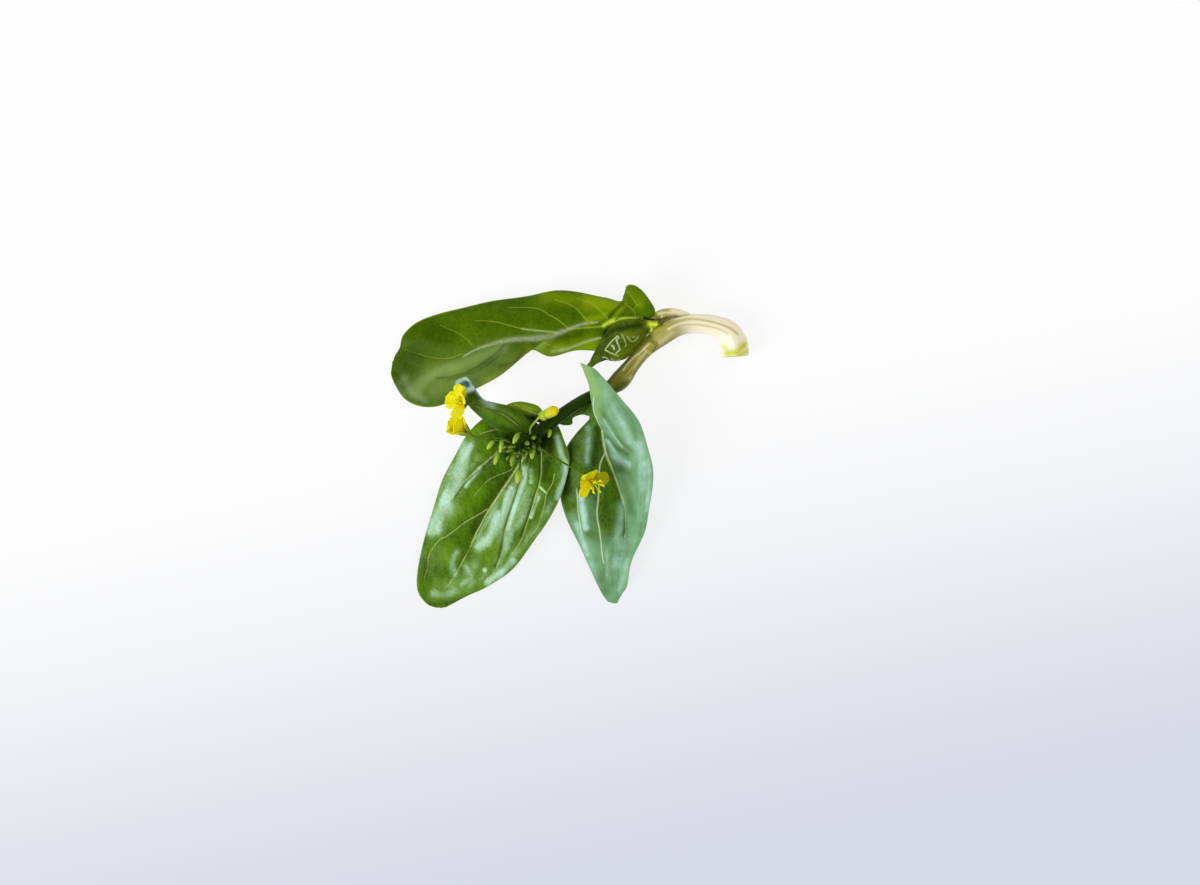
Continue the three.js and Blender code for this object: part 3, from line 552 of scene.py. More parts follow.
# The left leaf hangs down from the flowering top to the table. It is the broadest and glossiest blade, with
# a thick pale midrib, sunken side veins and the skin blistered up between them.
LEFT_LEAF = [
    [[-14, 11, 13.6], [-12.5, 9.5, 13.6], [-10.5, 8, 13.2], 0, 0],
    [[-25, 15, 12], [-15.5, 4.5, 12.5], [-5.5, 10, 9.8], 1, 0.8],
    [[-34.5, 13, 10.5], [-18.5, -1.5, 11.5], [-2.5, 4, 11], 1.8, 1.5],
    [[-42, 6.5, 8.5], [-22.5, -8.5, 10.5], [0, -4, 11.8], 2.4, 1.8],
    [[-47.5, -2.5, 7.5], [-27, -15.5, 10], [-1.5, -13.5, 11.3], 2.8, 2],
    [[-52.5, -12, 6.5], [-31.5, -22, 9.2], [-4.5, -22, 9.2], 3, 2.4],
    [[-56, -22, 5.5], [-35.5, -28.5, 7.8], [-9, -30.5, 8.6], 3, 2.4],
    [[-59, -31.5, 4.5], [-39.5, -35.5, 6.4], [-15, -39, 7.6], 3, 2.3],
    [[-62, -42.5, 3.2], [-43, -44, 4.4], [-23.5, -50.5, 5.2], 2.5, 2],
    [[-64, -52, 1.6], [-47.5, -51.5, 2.2], [-32.5, -57, 2.2], 1.6, 1.2],
    [[-64, -60, -0.2], [-50.5, -57, 0.4], [-41.5, -61.5, -0.2], 0.6, 0.5],
    [[-60.4, -65.4, -0.6], [-53.5, -62.5, -0.5], [-48.6, -65.2, -0.6], 0, 0],
    [[-56, -67.3, -0.6], [-54, -67.4, -0.6], [-52.4, -67.3, -0.6], 0, 0],
]
LEFT_VEINS_PX = [
    (1.9, 1.2, [(526, 452), (522.4, 460), (505, 486), (497, 498)]),
    (1.2, 0.5, [(497, 498), (484, 518), (468.6, 550), (453, 578), (446, 588)]),
    (0.9, 0.6, [(505, 447), (498.6, 451), (490, 458.6), (478, 468.5)]),
    (0.45, 0.3, [(478, 468.5), (464, 482), (457, 491), (451, 504), (446, 514), (440, 525)]),
    (0.4, 0.25, [(513, 463), (510, 470), (496, 476), (486, 482), (474, 496)]),
    (0.6, 0.35, [(487, 509), (467, 521), (447, 536), (439, 540), (429, 554), (427, 566), (423.6, 579)]),
    (0.4, 0.3, [(530, 458.7), (525, 474), (519, 487), (512.8, 506.5), (505, 530), (503, 548), (495, 569.6),
                (484.6, 580)]),
    (0.7, 0.35, [(541.6, 452), (541.4, 466), (540, 480.4), (533.5, 502), (528, 519.6), (521.5, 539),
                 (511.7, 554)]),
    (0.5, 0.35, [(554, 474), (552.5, 483), (546.5, 493.5), (543.5, 508), (536.7, 528), (530, 536)]),
    (0.5, 0.35, [(539, 488), (547, 494)]),
    (0.5, 0.35, [(502.5, 428.3), (492, 430.5), (480, 434)]),
]
# Painted sheen: bluish-white highlights beside the veins and along the margin, where the skin faces the light
LEFT_SHEEN_PX = [
    (0.42, 11, [(524, 492), (514, 522), (504, 540)]),
    (0.7, 8.5, [(467, 446), (460, 468), (450, 498), (437, 527)]),
    (0.35, 5, [(477, 458), (472, 466)]),
    (0.62, 5.5, [(512, 492), (508, 506), (502, 520), (494, 534), (488, 542)]),
    (0.5, 5.5, [(528, 500), (518, 522), (512, 534)]),
    (0.4, 6, [(476, 566), (471, 576)]),
    (0.45, 5.0, [(453, 466), (449, 474)]),
    (0.45, 5.0, [(537, 496), (534, 506)]),
    (0.4, 3.5, [(563, 464), (560, 476)]),
    (0.35, 5.0, [(484, 540), (478, 546)]),
    (0.36, 8, [(468, 450), (450, 490), (436, 528)]),
    (0.3, 9, [(440, 588), (470, 582), (500, 566)]),
    (0.75, 5.5, [(470, 446), (463, 462), (457, 476), (449, 491), (441, 507), (434, 523), (431, 532)]),
    (0.35, 3.5, [(459, 450), (449, 472), (439, 495), (430, 520)]),
    (0.6, 4.0, [(467, 448), (463, 458)]),
    (0.85, 2.6, [(480, 468), (472, 477.5), (466, 486)]),
    (0.3, 3.5, [(486, 464), (492, 460)]),
    (0.5, 3.5, [(459, 492), (452, 504), (446, 517), (441, 530)]),
    (0.45, 4.5, [(520, 476), (514, 486)]),
    (0.8, 3.4, [(512, 488), (507, 498), (504, 508), (502, 518)]),
    (0.8, 5.5, [(499, 514), (494, 526), (488, 537), (480, 546)]),
    (0.4, 4.0, [(495, 506), (487, 520), (478, 538)]),
    (0.9, 3.4, [(525, 468), (524, 480), (521, 491), (516, 504), (512, 516), (508, 529)]),
    (0.5, 3.0, [(531, 470), (531, 482)]),
    (0.4, 3.0, [(508, 532), (505, 545)]),
    (0.85, 1.8, [(539, 497), (535, 507), (531, 517)]),
    (0.9, 1.0, [(540, 486.5), (545.5, 492.5)]),
    (0.85, 3.6, [(557, 438), (561, 452), (565, 464), (565, 476), (560, 489), (557, 498)]),
    (0.2, 4.0, [(555, 436), (558, 452), (558, 464)]),
    (0.35, 6.0, [(552, 503), (541, 522), (527, 541), (512, 556)]),
    (0.95, 2.6, [(485, 569.5)]),
    (0.75, 4.5, [(512, 560), (506, 568), (497, 575), (488, 582)]),
    (0.45, 6.0, [(434, 593), (446, 594), (457, 590)]),
    (0.4, 6.0, [(506, 547), (498, 562)]),
    (0.45, 4.0, [(505, 492), (495, 508), (485, 526)]),
    (0.4, 3.5, [(524, 505), (518, 522), (511, 541)]),
    (0.5, 4.0, [(457, 552), (452, 562), (455, 574)]),
    (0.45, 4.0, [(466, 566), (472, 576), (462, 584)]),
]
LEFT_LIGHT_PX = [
    (0.6, 9, [(498, 412), (515, 410), (535, 416)]),
    (0.4, 6, [(479, 487), (465, 505), (452, 524)]),
    (0.3, 8, [(432, 548), (428, 562), (424, 580)]),
    (0.35, 6, [(496, 548), (484, 560)]),
    (0.85, 6, [(474, 432), (484, 424)]),
    (0.5, 6, [(450, 545), (444, 556)]),
    (0.5, 6, [(488, 448), (482, 456)]),
    (0.4, 6, [(500, 424), (506, 432)]),
    (0.35, 4, [(544, 508), (532, 530)]),
]
# Painted shadow under the flowering top, and painted shade beside the veins and where the blade turns away
LEFT_DARK_PX = [
    (0.97, 10, [(508, 440), (524, 450), (536, 440)]),
    (0.95, 8, [(514, 428), (536, 430), (545, 438), (541, 450)]),
    (0.55, 5, [(549, 458), (545, 470), (544, 478)]),
    (0.3, 4, [(552, 496), (549, 505)]),
    (0.35, 5, [(425, 560), (424, 578)]),
    (0.85, 6, [(549, 434), (550, 451)]),
    (0.7, 6, [(504, 436), (494, 442)]),
    (0.4, 5, [(511, 462), (504, 480), (492, 498), (482, 514), (472, 532)]),
    (0.6, 1.2, [(524, 476), (516, 494), (510.5, 508), (506, 524), (502, 541), (499, 555), (494.5, 566)]),
    (0.6, 1.2, [(540, 455), (538.5, 481), (531.8, 502), (527, 518), (520.3, 536)]),
    (0.6, 1.2, [(498, 455), (481, 469.5), (469, 479.5), (462, 488), (452, 502)]),
    (0.3, 2.0, [(552, 476), (549, 492), (545, 508)]),
]
# Drops of water: height in millimetres, half width, place
LEFT_DEW_PX = [
    (0.45, 1.6, [(450, 495)]), (0.4, 1.2, [(439, 509)]), (0.4, 1.2, [(432, 518)]), (0.45, 1.8, [(493, 525)]),
    (0.35, 1.3, [(485, 543)]), (0.35, 1.2, [(456, 482)]), (0.3, 1.2, [(447, 505)]), (0.3, 1.0, [(501, 519)]),
    (0.35, 1.4, [(560, 458)]), (0.3, 1.2, [(556, 466)]), (0.35, 1.4, [(470, 545)]), (0.3, 1.2, [(437, 525)]),
]
# The trough beside the midrib near the tip
LEFT_HOLLOW_PX = [(1.0, 12, [(440, 545), (434, 570), (436, 590)])]
LEFT_HOLLOW_DEPTH = 1.2 * MM
# Cosine and sine of the leaf's slant in the photograph, along which the patches of painted sheen
# are drawn out
LEFT_SLANT = [0.86, 0.5]
PATCH_STRETCH = 3


def patchy(mask, patches):
    """A mask made uneven by patches, each given as strength, places, width and seed."""
    total = sum(strength * uneven(places, width, seed) for strength, places, width, seed in patches)
    return np.clip(mask * (1 + total), 0, 1)


def left_relief(pixels, t, u):
    skin = leaf_relief(pixels, u, LEFT_VEINS_PX, bulge=0.7 * MM, reach=2.6 * MM, vein_rise=-0.2 * MM,
                       swells=[(0.07 * MM, 7, 4), (0.25 * MM, 30, 5)])
    hollow = LEFT_HOLLOW_DEPTH * strokes(pixels, LEFT_HOLLOW_PX) * inland(u)
    return skin - hollow + MM * strokes(pixels, LEFT_DEW_PX)


def left_masks(pixels, t, u):
    masks = leaf_masks(pixels, LEFT_VEINS_PX, 0.85, LEFT_LIGHT_PX, (), LEFT_SHEEN_PX, LEFT_DARK_PX)
    cosine, sine = LEFT_SLANT
    x, y = pixels[..., 0], pixels[..., 1]
    drawn_out = np.stack([cosine * x + sine * y, (cosine * y - sine * x) / PATCH_STRETCH], axis=-1)
    masks["bloom"] = patchy(masks["bloom"], [(0.15, drawn_out, 7, 9), (0.12, pixels, 22, 8)])
    return masks


# Its sheen colours, thin and full, are painted highlights, and its near-black green is painted shade
left_skin = leaf_skin("glossy_leaf_left", deep="#345401", fresh="#4A7203", light="#618B08", thin_sheen="#86AD58",
                      bloom="#B0D0C0", vein="#BCCB80", under="#5F8438", dark="#0F1A02", coat=0.06,
                      gloss=0.06, speckled=0.18, blistered=1.0)
left_blade = blade_part(LEFT_LEAF, 321, 221, left_masks, left_relief, waves=5, wave=0.7, keel=0.8 * MM)
leaf_left = make_piece("left_leaf", [left_blade], left_skin)
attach(leaf_left, "root")
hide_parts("leaf_left")


# The right leaf is folded along its midrib. Its outer half stands up, turned to the light and bluish with
# wax and painted sheen, and runs into a pointed ear over the stem; a second, lobed ear passes under the stem.
RIGHT_LEAF = [
    [[8.5, 17, 13], [10.5, 20.5, 19], [5, 35, 24], 0, 0],
    [[8, 14.5, 12.8], [10, 16.5, 18.5], [10, 32.5, 25], 0, 1],
    [[7.5, 11, 12.5], [11, 12, 17], [18, 25, 25], 0, 1.5],
    [[3.5, 7, 12], [14, 7, 14], [25, 16, 24.5], 1, 1.5],
    [[-1, 0.5, 8.5], [15, 0.5, 11.5], [30.5, 7, 23], 2.6, 1.5],
    [[-3.5, -6, 6.2], [17.5, -6.5, 9.5], [34, -4, 20.5], 4, 1.5],
    [[-4, -13.5, 5.5], [20, -14, 8], [34.5, -13.5, 18], 4.5, 1.5],
    [[-3.5, -22, 5], [22.5, -22, 6.5], [34, -23, 15], 4.5, 1.5],
    [[-0.5, -31, 4.8], [24, -31, 5], [31.5, -33.5, 11], 3.6, 1],
    [[4.5, -41.5, 3.8], [22.5, -41, 3.2], [27, -45.5, 7], 2, 0.8],
    [[9.5, -52.5, 1.4], [21, -52.5, 1.2], [24.5, -56.5, 3], 0.8, 0.4],
    [[13.5, -61, -0.6], [20, -61, -0.5], [22, -61.5, -0.2], 0, 0],
    [[16.5, -65, -0.6], [18.5, -65.5, -0.6], [20, -65.5, -0.6], 0, 0],
]
RIGHT_LEAF_LOBE = [
    [[11, 21, 12], [11.5, 17.5, 12.4], [11, 14, 12.8], 0, 0],
    [[7, 20, 12], [8, 17, 12.2], [8, 13.5, 12.5], 0, 0.3],
    [[3.5, 18.5, 12], [4.5, 16, 12], [5, 14, 11.5], 0, 0.3],
    [[-0.5, 16, 12], [0.5, 14, 12], [1.5, 12.5, 11.2], 0, 0.3],
    [[-2.5, 14, 12], [-1, 12, 12], [1, 10, 11.2], 0, 0.3],
    [[-4.5, 12.5, 12], [-3, 11.5, 12], [-2, 9.5, 11.5], 0, 0.2],
    [[-5.5, 11.5, 12], [-5.2, 11, 12], [-4.8, 10.3, 12], 0, 0],
]
RIGHT_VEINS_PX = [
    (1.4, 1.2, [(602.4, 431), (604, 445), (607, 457), (611.3, 467), (614.7, 476), (619, 488.3),
                (621.3, 495)]),
    (1.2, 0.35, [(621.3, 495), (624.7, 508.3), (625.8, 521.7), (625, 537)]),
    (0.6, 0.4, [(605, 452), (599.7, 465), (598.8, 480), (598.6, 494), (596.9, 514), (599, 527),
                (600.8, 540.6), (602.4, 556), (604, 563)]),
    (0.35, 0.35, [(576.9, 488.3), (578, 507), (580, 521.7), (581.9, 532.8)]),
    (0.4, 0.3, [(594, 398), (593.6, 406), (594.7, 414), (599, 424), (602.4, 431)]),
]
# Wax with painted sheen over a fold of the inner half, and streaks of painted shade in the folds of the outer
# half, where its green shows through
RIGHT_WAX_SHEEN_PX = [
    (0.85, 8, [(600, 380), (604, 395), (610, 412)]),
    (0.7, 6, [(574, 518), (580, 535), (588, 550)]),
    (0.75, 4.5, [(621, 505), (619, 525), (614, 542)]),
    (0.4, 5, [(590, 500), (594, 520), (598, 540)]),
]
RIGHT_SHADE_PX = [
    (0.65, 2.4, [(600, 409), (612, 425), (622, 440), (632, 450)]),
    (0.7, 3.2, [(608, 437), (614, 445), (628, 453)]),
    (0.5, 0.8, [(616, 398), (624, 410), (629, 422), (636, 434), (641, 448), (643, 464), (642, 480)]),
    (0.45, 0.8, [(632, 428), (637, 442), (638, 456), (637, 472), (638, 490)]),
    (0.4, 0.9, [(646, 458), (647, 475), (646, 495), (643, 515), (640, 535)]),
    (0.4, 1.0, [(606, 398), (612, 410), (619, 420)]),
    (0.5, 2.5, [(638, 447), (641, 453)]),
    (0.35, 2.0, [(612, 545), (611, 565), (612, 585)]),
    (0.35, 1.5, [(603, 550), (604, 575)]),
    (0.55, 6, [(617, 468), (628, 472), (634, 480)]),
    (0.55, 6, [(623, 480), (629, 495), (631, 510)]),
    (0.35, 4, [(627, 528), (627, 558)]),
    (0.35, 2, [(636, 470), (638, 500)]),
    (0.35, 1.5, [(620, 402), (630, 418), (637, 432)]),
    (0.3, 7, [(600, 575), (606, 590)]),
]
RIGHT_PALE_PX = [
    (0.9, 7, [(584, 370), (591, 384), (596, 394)]),
    (0.5, 4, [(596, 398), (600, 415)]),
]
# Painted sheen: highlights on the folds, the ear and the waxy outer half
RIGHT_SHEEN_PX = [
    (0.25, 5, [(604, 384), (607, 400)]),
    (0.25, 4, [(606, 420), (612, 431)]),
    (0.4, 6, [(616, 408), (624, 425), (631, 440)]),
    (0.45, 8, [(638, 443), (643, 462), (645, 485)]),
    (0.45, 3.5, [(648, 460), (649, 485), (647, 510)]),
    (0.5, 0.8, [(604, 418), (611, 428), (618, 438), (624, 446)]),
    (0.4, 0.8, [(595, 415), (600, 422), (603, 431)]),
    (0.25, 0.9, [(639.5, 450), (640.5, 468), (640, 488), (639, 515)]),
    (0.25, 0.9, [(643, 446), (645, 462), (644.5, 480), (644, 500), (642, 520)]),
    (0.35, 3, [(628, 434), (632, 444)]),
    (0.35, 1.5, [(607, 550), (607, 575)]),
    (0.3, 1.5, [(617, 552), (616, 578)]),
    (0.5, 2.2, [(607, 440), (613, 450), (618, 458)]),
    (0.6, 4, [(614, 456), (622, 461), (629, 464)]),
    (0.72, 4.2, [(581.5, 496), (584, 513), (586, 527)]),
    (0.5, 4, [(577, 524), (582, 539), (588, 554)]),
    (0.35, 3.6, [(589, 428), (588, 445), (587, 462)]),
    (0.4, 4.5, [(622, 505), (620, 525), (617, 542)]),
    (0.4, 9, [(621, 542), (617, 565)]),
    (0.3, 4, [(590, 560), (596, 575)]),
    (0.35, 4, [(628, 560), (625, 575), (620, 590)]),
]
# Painted shade in the troughs of the inner half, beside the fold of the midrib and along its left margin
RIGHT_DARK_PX = [
    (0.6, 3.5, [(597, 428), (596, 445), (593, 463)]),
    (0.5, 5, [(575, 444), (569, 465), (568, 490)]),
    (0.35, 2.5, [(606, 486), (605, 510)]),
]
# The rumpled skin: height of its folds and depth of its hollow in millimetres, half width, way points
RIGHT_FOLD_PX = [
    (0.8, 3.0, [(606, 424), (613, 433), (622, 444), (632, 452)]),
    (0.4, 3.0, [(600, 398), (603, 412)]),
    (0.6, 3.0, [(617, 408), (627, 426), (636, 442)]),
    (0.5, 3.0, [(640, 470), (644, 500), (643, 525)]),
    (0.5, 3.0, [(585, 480), (583, 505), (586, 530)]),
]
RIGHT_HOLLOW_PX = [(0.9, 4.0, [(609, 442), (618, 454), (628, 462)])]
# Wax and painted sheen cover the outer half from just beside the midrib, and below these rows of pixels
# both halves
RIGHT_WAX_SHEEN_SHARE = 0.92
RIGHT_WAX_SHEEN_BAND = [0.02, 0.12]
RIGHT_WAX_SHEEN_ROWS_PX = [528, 550]
# The share of the leaf's length over which its bulges set in
RIGHT_SMOOTH_FOOT = 0.25


def right_relief(pixels, t, u):
    skin = leaf_relief(pixels, u, RIGHT_VEINS_PX, bulge=0.5 * MM * np.clip(t / RIGHT_SMOOTH_FOOT, 0, 1),
                       reach=3.0 * MM, vein_rise=0.1 * MM, swells=[(0.18 * MM, 24, 12)])
    return skin + MM * (strokes(pixels, RIGHT_FOLD_PX) - strokes(pixels, RIGHT_HOLLOW_PX)) * inland(u)


def right_masks(pixels, t, u):
    masks = leaf_masks(pixels, RIGHT_VEINS_PX, 0.95, pale=RIGHT_PALE_PX, bloom=RIGHT_SHEEN_PX,
                       dark=RIGHT_DARK_PX)
    # Wax and painted sheen over the outer half and the lower part, broken by streaks of painted shade
    covered = np.maximum(soft_step(u, *RIGHT_WAX_SHEEN_BAND), soft_step(pixels[..., 1], *RIGHT_WAX_SHEEN_ROWS_PX))
    wax_and_sheen = np.maximum(RIGHT_WAX_SHEEN_SHARE * covered, strokes(pixels, RIGHT_WAX_SHEEN_PX))
    masks["light"] = patchy(wax_and_sheen * (1 - strokes(pixels, RIGHT_SHADE_PX)), [(0.12, pixels, 16, 3)])
    masks["bloom"] = patchy(masks["bloom"], [(0.15, pixels, 14, 13)])
    return masks


# Its bluish green is wax with painted sheen, its two sheen colours painted highlights, its dark painted shade
right_skin = leaf_skin("waxy_leaf_right", deep="#2F4D04", fresh="#446806", light="#6D986E", pale="#83A655",
                       thin_sheen="#8DB596", bloom="#B2D3CC", vein="#C8DAA2", under="#6F9260", coat=0.05,
                       gloss=0.05, speckled=0.15)
right_blade = blade_part(RIGHT_LEAF, 321, 171, right_masks, right_relief, waves=5, wave=0.8, keel=0.8 * MM)
right_lobe = blade_part(RIGHT_LEAF_LOBE, 61, 31, lambda pixels, t, u: leaf_masks(pixels), waves=3, wave=0.3)
leaf_right = make_piece("right_leaf", [right_blade, right_lobe], right_skin)
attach(leaf_right, "root")
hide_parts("leaf_right")


# The pointed leaf lies over the base of the large one: small, dark, crumpled and shiny, so that its ridges
# catch the light as thin broken lines, painted as pale glints.
POINTED_LEAF = [
    [[36.8, 53.2, 14.8], [36.8, 51.2, 14.4], [34.2, 48.3, 13.8], 0, 0],
    [[33, 53, 16], [33, 50.5, 15], [32.3, 46.7, 10.2], 0, 0],
    [[28, 53.5, 17.5], [27, 49, 16.5], [28.9, 43.2, 10.2], 0.4, 0.8],
    [[22, 52.5, 18.2], [22, 47, 17], [24.1, 37.5, 11.5], 0.4, 1],
    [[17.5, 50.5, 17.7], [18.5, 44, 16.5], [18.5, 36.5, 12.5], 0.4, 1],
    [[13.5, 45, 16.5], [15.5, 41, 15.8], [15.5, 36.5, 13.5], 0.3, 0.6],
    [[10.5, 40, 15], [12.5, 38, 14.8], [13, 36, 14], 0.1, 0.2],
    [[8.5, 36, 14], [9.5, 35.5, 13.8], [10, 34, 13.6], 0, 0],
    [[6.5, 33, 13], [7, 32.7, 13], [7.4, 32.3, 13], 0, 0],
]
# Ridges, with painted glints along them: strength, half width, way points
POINTED_RIDGES_PX = [
    (0.8, 0.35, [(605.5, 349), (610, 343), (614, 339), (617.5, 336), (619, 338)]),
    (0.9, 0.4, [(605.5, 350), (611.7, 353.3), (618.3, 355.8)]),
    (0.95, 0.4, [(617.5, 338.3), (616.7, 340.8), (619.6, 348.3), (618, 351), (616, 353)]),
    (0.9, 0.6, [(612, 345.5), (613.5, 346.5), (614, 349)]),
    (0.5, 0.4, [(621.7, 334), (624, 339), (625.8, 344), (625.4, 346)]),
    (0.45, 0.55, [(627.5, 336.7), (630.8, 340.8), (634, 341), (637, 338), (638.5, 335.5)]),
    (0.35, 0.5, [(632, 336.5), (635.5, 337)]),
    (0.85, 0.45, [(603, 357.5), (606, 357), (609, 359.5)]),
    (0.7, 0.4, [(611, 358), (615, 360.3), (620, 359)]),
]
POINTED_PALE_PX = [(1.0, 3.0, [(650.5, 324), (658, 324.5)]), (0.9, 1.8, [(651, 326), (651.5, 331)])]
# Painted shade under the strip of the large leaf's midrib and along the left edge
POINTED_DARK_PX = [
    (0.8, 3.0, [(604, 337), (612, 331), (622, 328), (640, 325)]),
    (0.45, 3.5, [(598, 350), (602, 344), (608, 338)]),
]
# Painted light over the right side, which is turned away from the key light
POINTED_LIGHT_PX = [
    (0.85, 6, [(644, 336), (638, 344), (628, 352), (615, 357)]),
    (0.5, 5, [(634, 336), (622, 336)]),
]
POINTED_RIDGE_RISE = 0.35 * MM
# The ridges stand up over a wider strip than their painted glints
POINTED_RIDGE_SPREAD = 1.8


def pointed_relief(pixels, t, u):
    ridges = [(share, POINTED_RIDGE_SPREAD * width, line) for share, width, line in POINTED_RIDGES_PX]
    return POINTED_RIDGE_RISE * strokes(pixels, ridges) + 0.12 * MM * uneven(pixels, 9, 14) * inland(u)


def pointed_masks(pixels, t, u):
    masks = leaf_masks(pixels, light=POINTED_LIGHT_PX, pale=POINTED_PALE_PX, dark=POINTED_DARK_PX)
    # The vein colour draws the painted glints along the ridges
    masks["vein"] = strokes(pixels, POINTED_RIDGES_PX)
    return masks


# Its vein colour is the painted glint, its yellow-green painted light, and its dark colour painted shade
pointed_skin = leaf_skin("crumpled_leaf_pointed", deep="#344602", fresh="#4E6004", light="#73840F",
                         pale="#CBD63A", vein="#D3DCA6", under="#5D7340", coat=0.05, gloss=0.04)
pointed_blade = blade_part(POINTED_LEAF, 201, 121, pointed_masks, pointed_relief, waves=4, wave=0.5,
                           keel=0.3 * MM)
leaf_pointed = make_piece("pointed_leaf", [pointed_blade], pointed_skin)
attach(leaf_pointed, "root")
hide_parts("leaf_pointed")


# The two young leaves beside the flowers: one folded into a trough with its tip curled up, bluish with wax
# and a painted sheen round the curl, and one behind it that is short and yellow-green.
CURLED_LEAF = [
    [[-15.5, 9.5, 20], [-16, 8.5, 20.4], [-17, 6.5, 20], 0, 0],
    [[-18, 12.5, 20.5], [-21, 10, 21.8], [-22.5, 6.5, 19.5], 0.3, 0.5],
    [[-23.5, 17, 21], [-27, 13, 23], [-29.5, 8, 19.4], 0.3, 0.7],
    [[-30, 18.5, 21.5], [-33, 15.5, 24], [-35.5, 12, 20.4], 0.3, 0.7],
    [[-35, 20, 22.5], [-38, 19, 25], [-41, 17, 22.4], 0.3, 0.5],
    [[-38.5, 24.5, 24], [-41, 23, 25.5], [-43.5, 22, 24.5], 0, 0],
    [[-40.5, 27.5, 26.5], [-43.5, 26, 27], [-46.5, 25, 27], -0.4, -0.4],
    [[-42, 29, 29], [-45, 27.5, 29], [-47.5, 26, 29], -0.4, -0.4],
    [[-44, 28.5, 31], [-45.5, 27.8, 31], [-46.5, 27, 31], 0, 0],
]
BACK_LEAF = [
    [[-10, 14, 17], [-10.5, 12, 16.5], [-12, 10.5, 16], 0, 0],
    [[-13, 17.5, 17], [-15.5, 14.5, 17.5], [-17, 12, 16], 0.3, 0.3],
    [[-18.5, 19, 17], [-20.5, 15.5, 18], [-22.5, 12.5, 16.5], 0.4, 0.4],
    [[-23, 19, 16.8], [-25, 16, 17.4], [-26.5, 13.5, 16.2], 0.3, 0.3],
    [[-26.5, 17.5, 16.4], [-28.5, 15.5, 16.8], [-29.5, 14.5, 16], 0.1, 0.1],
    [[-30, 16, 16], [-30.5, 15.3, 16], [-31, 14.7, 16], 0, 0],
]
# Painted sheen: a bluish-white ring round the curled tip, and streaks below it
CURLED_SHEEN_PX = [
    (1.0, 2.6, [(457, 387), (458.5, 381), (465, 377.5), (471, 381), (472, 388), (467, 391)]),
    (0.5, 3, [(473, 384), (479, 392), (486, 400)]),
    (0.3, 4, [(484, 398), (492, 406)]),
]
CURLED_LIGHT_PX = [
    (0.5, 5, [(484, 408), (505, 414), (514, 422)]),
    (0.4, 4, [(470, 399), (480, 408)]),
]
# Painted shade, dark blue-green, in the hollow of the curled tip
CURLED_PALE_PX = [(0.9, 1.9, [(464, 384), (465.5, 387)])]
# Painted shade along the fold and beside the flowering top
CURLED_DARK_PX = [
    (0.5, 3, [(471, 392), (478, 400)]),
    (0.6, 2.0, [(490, 409), (503, 415), (518, 427)]),
    (0.5, 3, [(503, 428), (518, 431)]),
]
BACK_LIGHT_PX = [(0.8, 4, [(502, 405), (515, 405), (530, 410)])]
# Painted shade along the lower edge of the back leaf
BACK_DARK_PX = [(0.75, 4, [(518, 421), (530, 418), (540, 420)])]
CURLED_VEINS_PX = [(0.9, 0.4, [(519, 426), (505, 416), (490, 408), (478, 400)])]
BACK_VEINS_PX = [
    (1.0, 0.5, [(530, 425), (520, 415), (507, 405.5)]),
    (0.5, 0.3, [(540, 415), (526, 410), (514, 404)]),
]


def curled_masks(pixels, t, u):
    return leaf_masks(pixels, CURLED_VEINS_PX, 0.4, CURLED_LIGHT_PX, CURLED_PALE_PX, CURLED_SHEEN_PX,
                      CURLED_DARK_PX)


def back_masks(pixels, t, u):
    return leaf_masks(pixels, BACK_VEINS_PX, 0.6, light=BACK_LIGHT_PX, dark=BACK_DARK_PX)


# Its blue-green pale colour is the painted shade in the curl, and its bluish-white the painted sheen
curled_skin = leaf_skin("young_leaf_curled", deep="#2C4A02", fresh="#426A06", light="#6D8A22", pale="#4F8494",
                        bloom="#C2E2E4", vein="#9FB26A", under="#5F8048", coat=0.1, gloss=0.06, speckled=0.15)
curled_blade = blade_part(CURLED_LEAF, 181, 81, curled_masks, waves=3, wave=0.2, keel=0.3 * MM)
leaf_curled = make_piece("curled_leaf", [curled_blade], curled_skin)
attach(leaf_curled, "root")
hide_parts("leaf_curled")

back_skin = leaf_skin("young_leaf_back", deep="#465F06", fresh="#627C0A", light="#86A012", vein="#B5B982",
                      under="#5F8048", coat=0.1, gloss=0.06)
back_blade = blade_part(BACK_LEAF, 121, 61, back_masks, waves=3, wave=0.3, keel=0.3 * MM)
leaf_back = make_piece("back_leaf", [back_blade], back_skin)
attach(leaf_back, "root")
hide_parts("leaf_back")


# The stem is a juicy ribbed stalk: almost white at the cut end, olive where the leaves clasp it, dark green
# towards the flowers. The cut face is a little hollow and has gone yellow-green.
STEM_ROUTE = [
    [69.28, 38.4, 5.6], [68.8, 44, 5.6], [66.3, 48.5, 5.4], [62, 50.8, 5.9], [57, 52, 6.8], [50.5, 52, 8],
    [44.5, 50.5, 9.5], [38, 46.5, 11], [31.5, 41, 12.5], [26.5, 35, 13.8], [21.5, 28.5, 14.8], [17, 25, 15.2],
    [11.5, 22.5, 15.5], [4.5, 19, 16], [-3, 14, 16.5], [-9.5, 9, 17.5], [-13.5, 6, 18.3],
]
STEM_RADII = [6, 5.9, 5.3, 4.6, 4.2, 4.1, 4.1, 4.1, 3.4, 3.3, 4.1, 3.2, 2.6, 2.5, 2.6, 2.8, 2.7]
# Ridges round the stem and their depth, as a share of its radius; they run out towards the flowers
STEM_RIDGES = 5
STEM_RIDGE_DEPTH = 0.05
# Finer ribs: depth, how many stand round the stem, and their twist in radians over its length. The inset
# keeps all of them inside the solid's own outline.
STEM_FINE_RIBS = [(0.012, 17, 9), (0.008, 31, -5)]
STEM_INSET = 0.02
# How deep the cut face is sunk, in millimetres
CUT_DISH = 1.0
# Length of the stem and width of the fibres in its skin in millimetres, and how far these are drawn out
STEM_LENGTH = 130.0
STEM_FIBRE = 1.4
FIBRE_STRETCH = 12.0
# Size of the tatters where the skin turns yellow-green at the cut
FRAY = 2.38 * MM
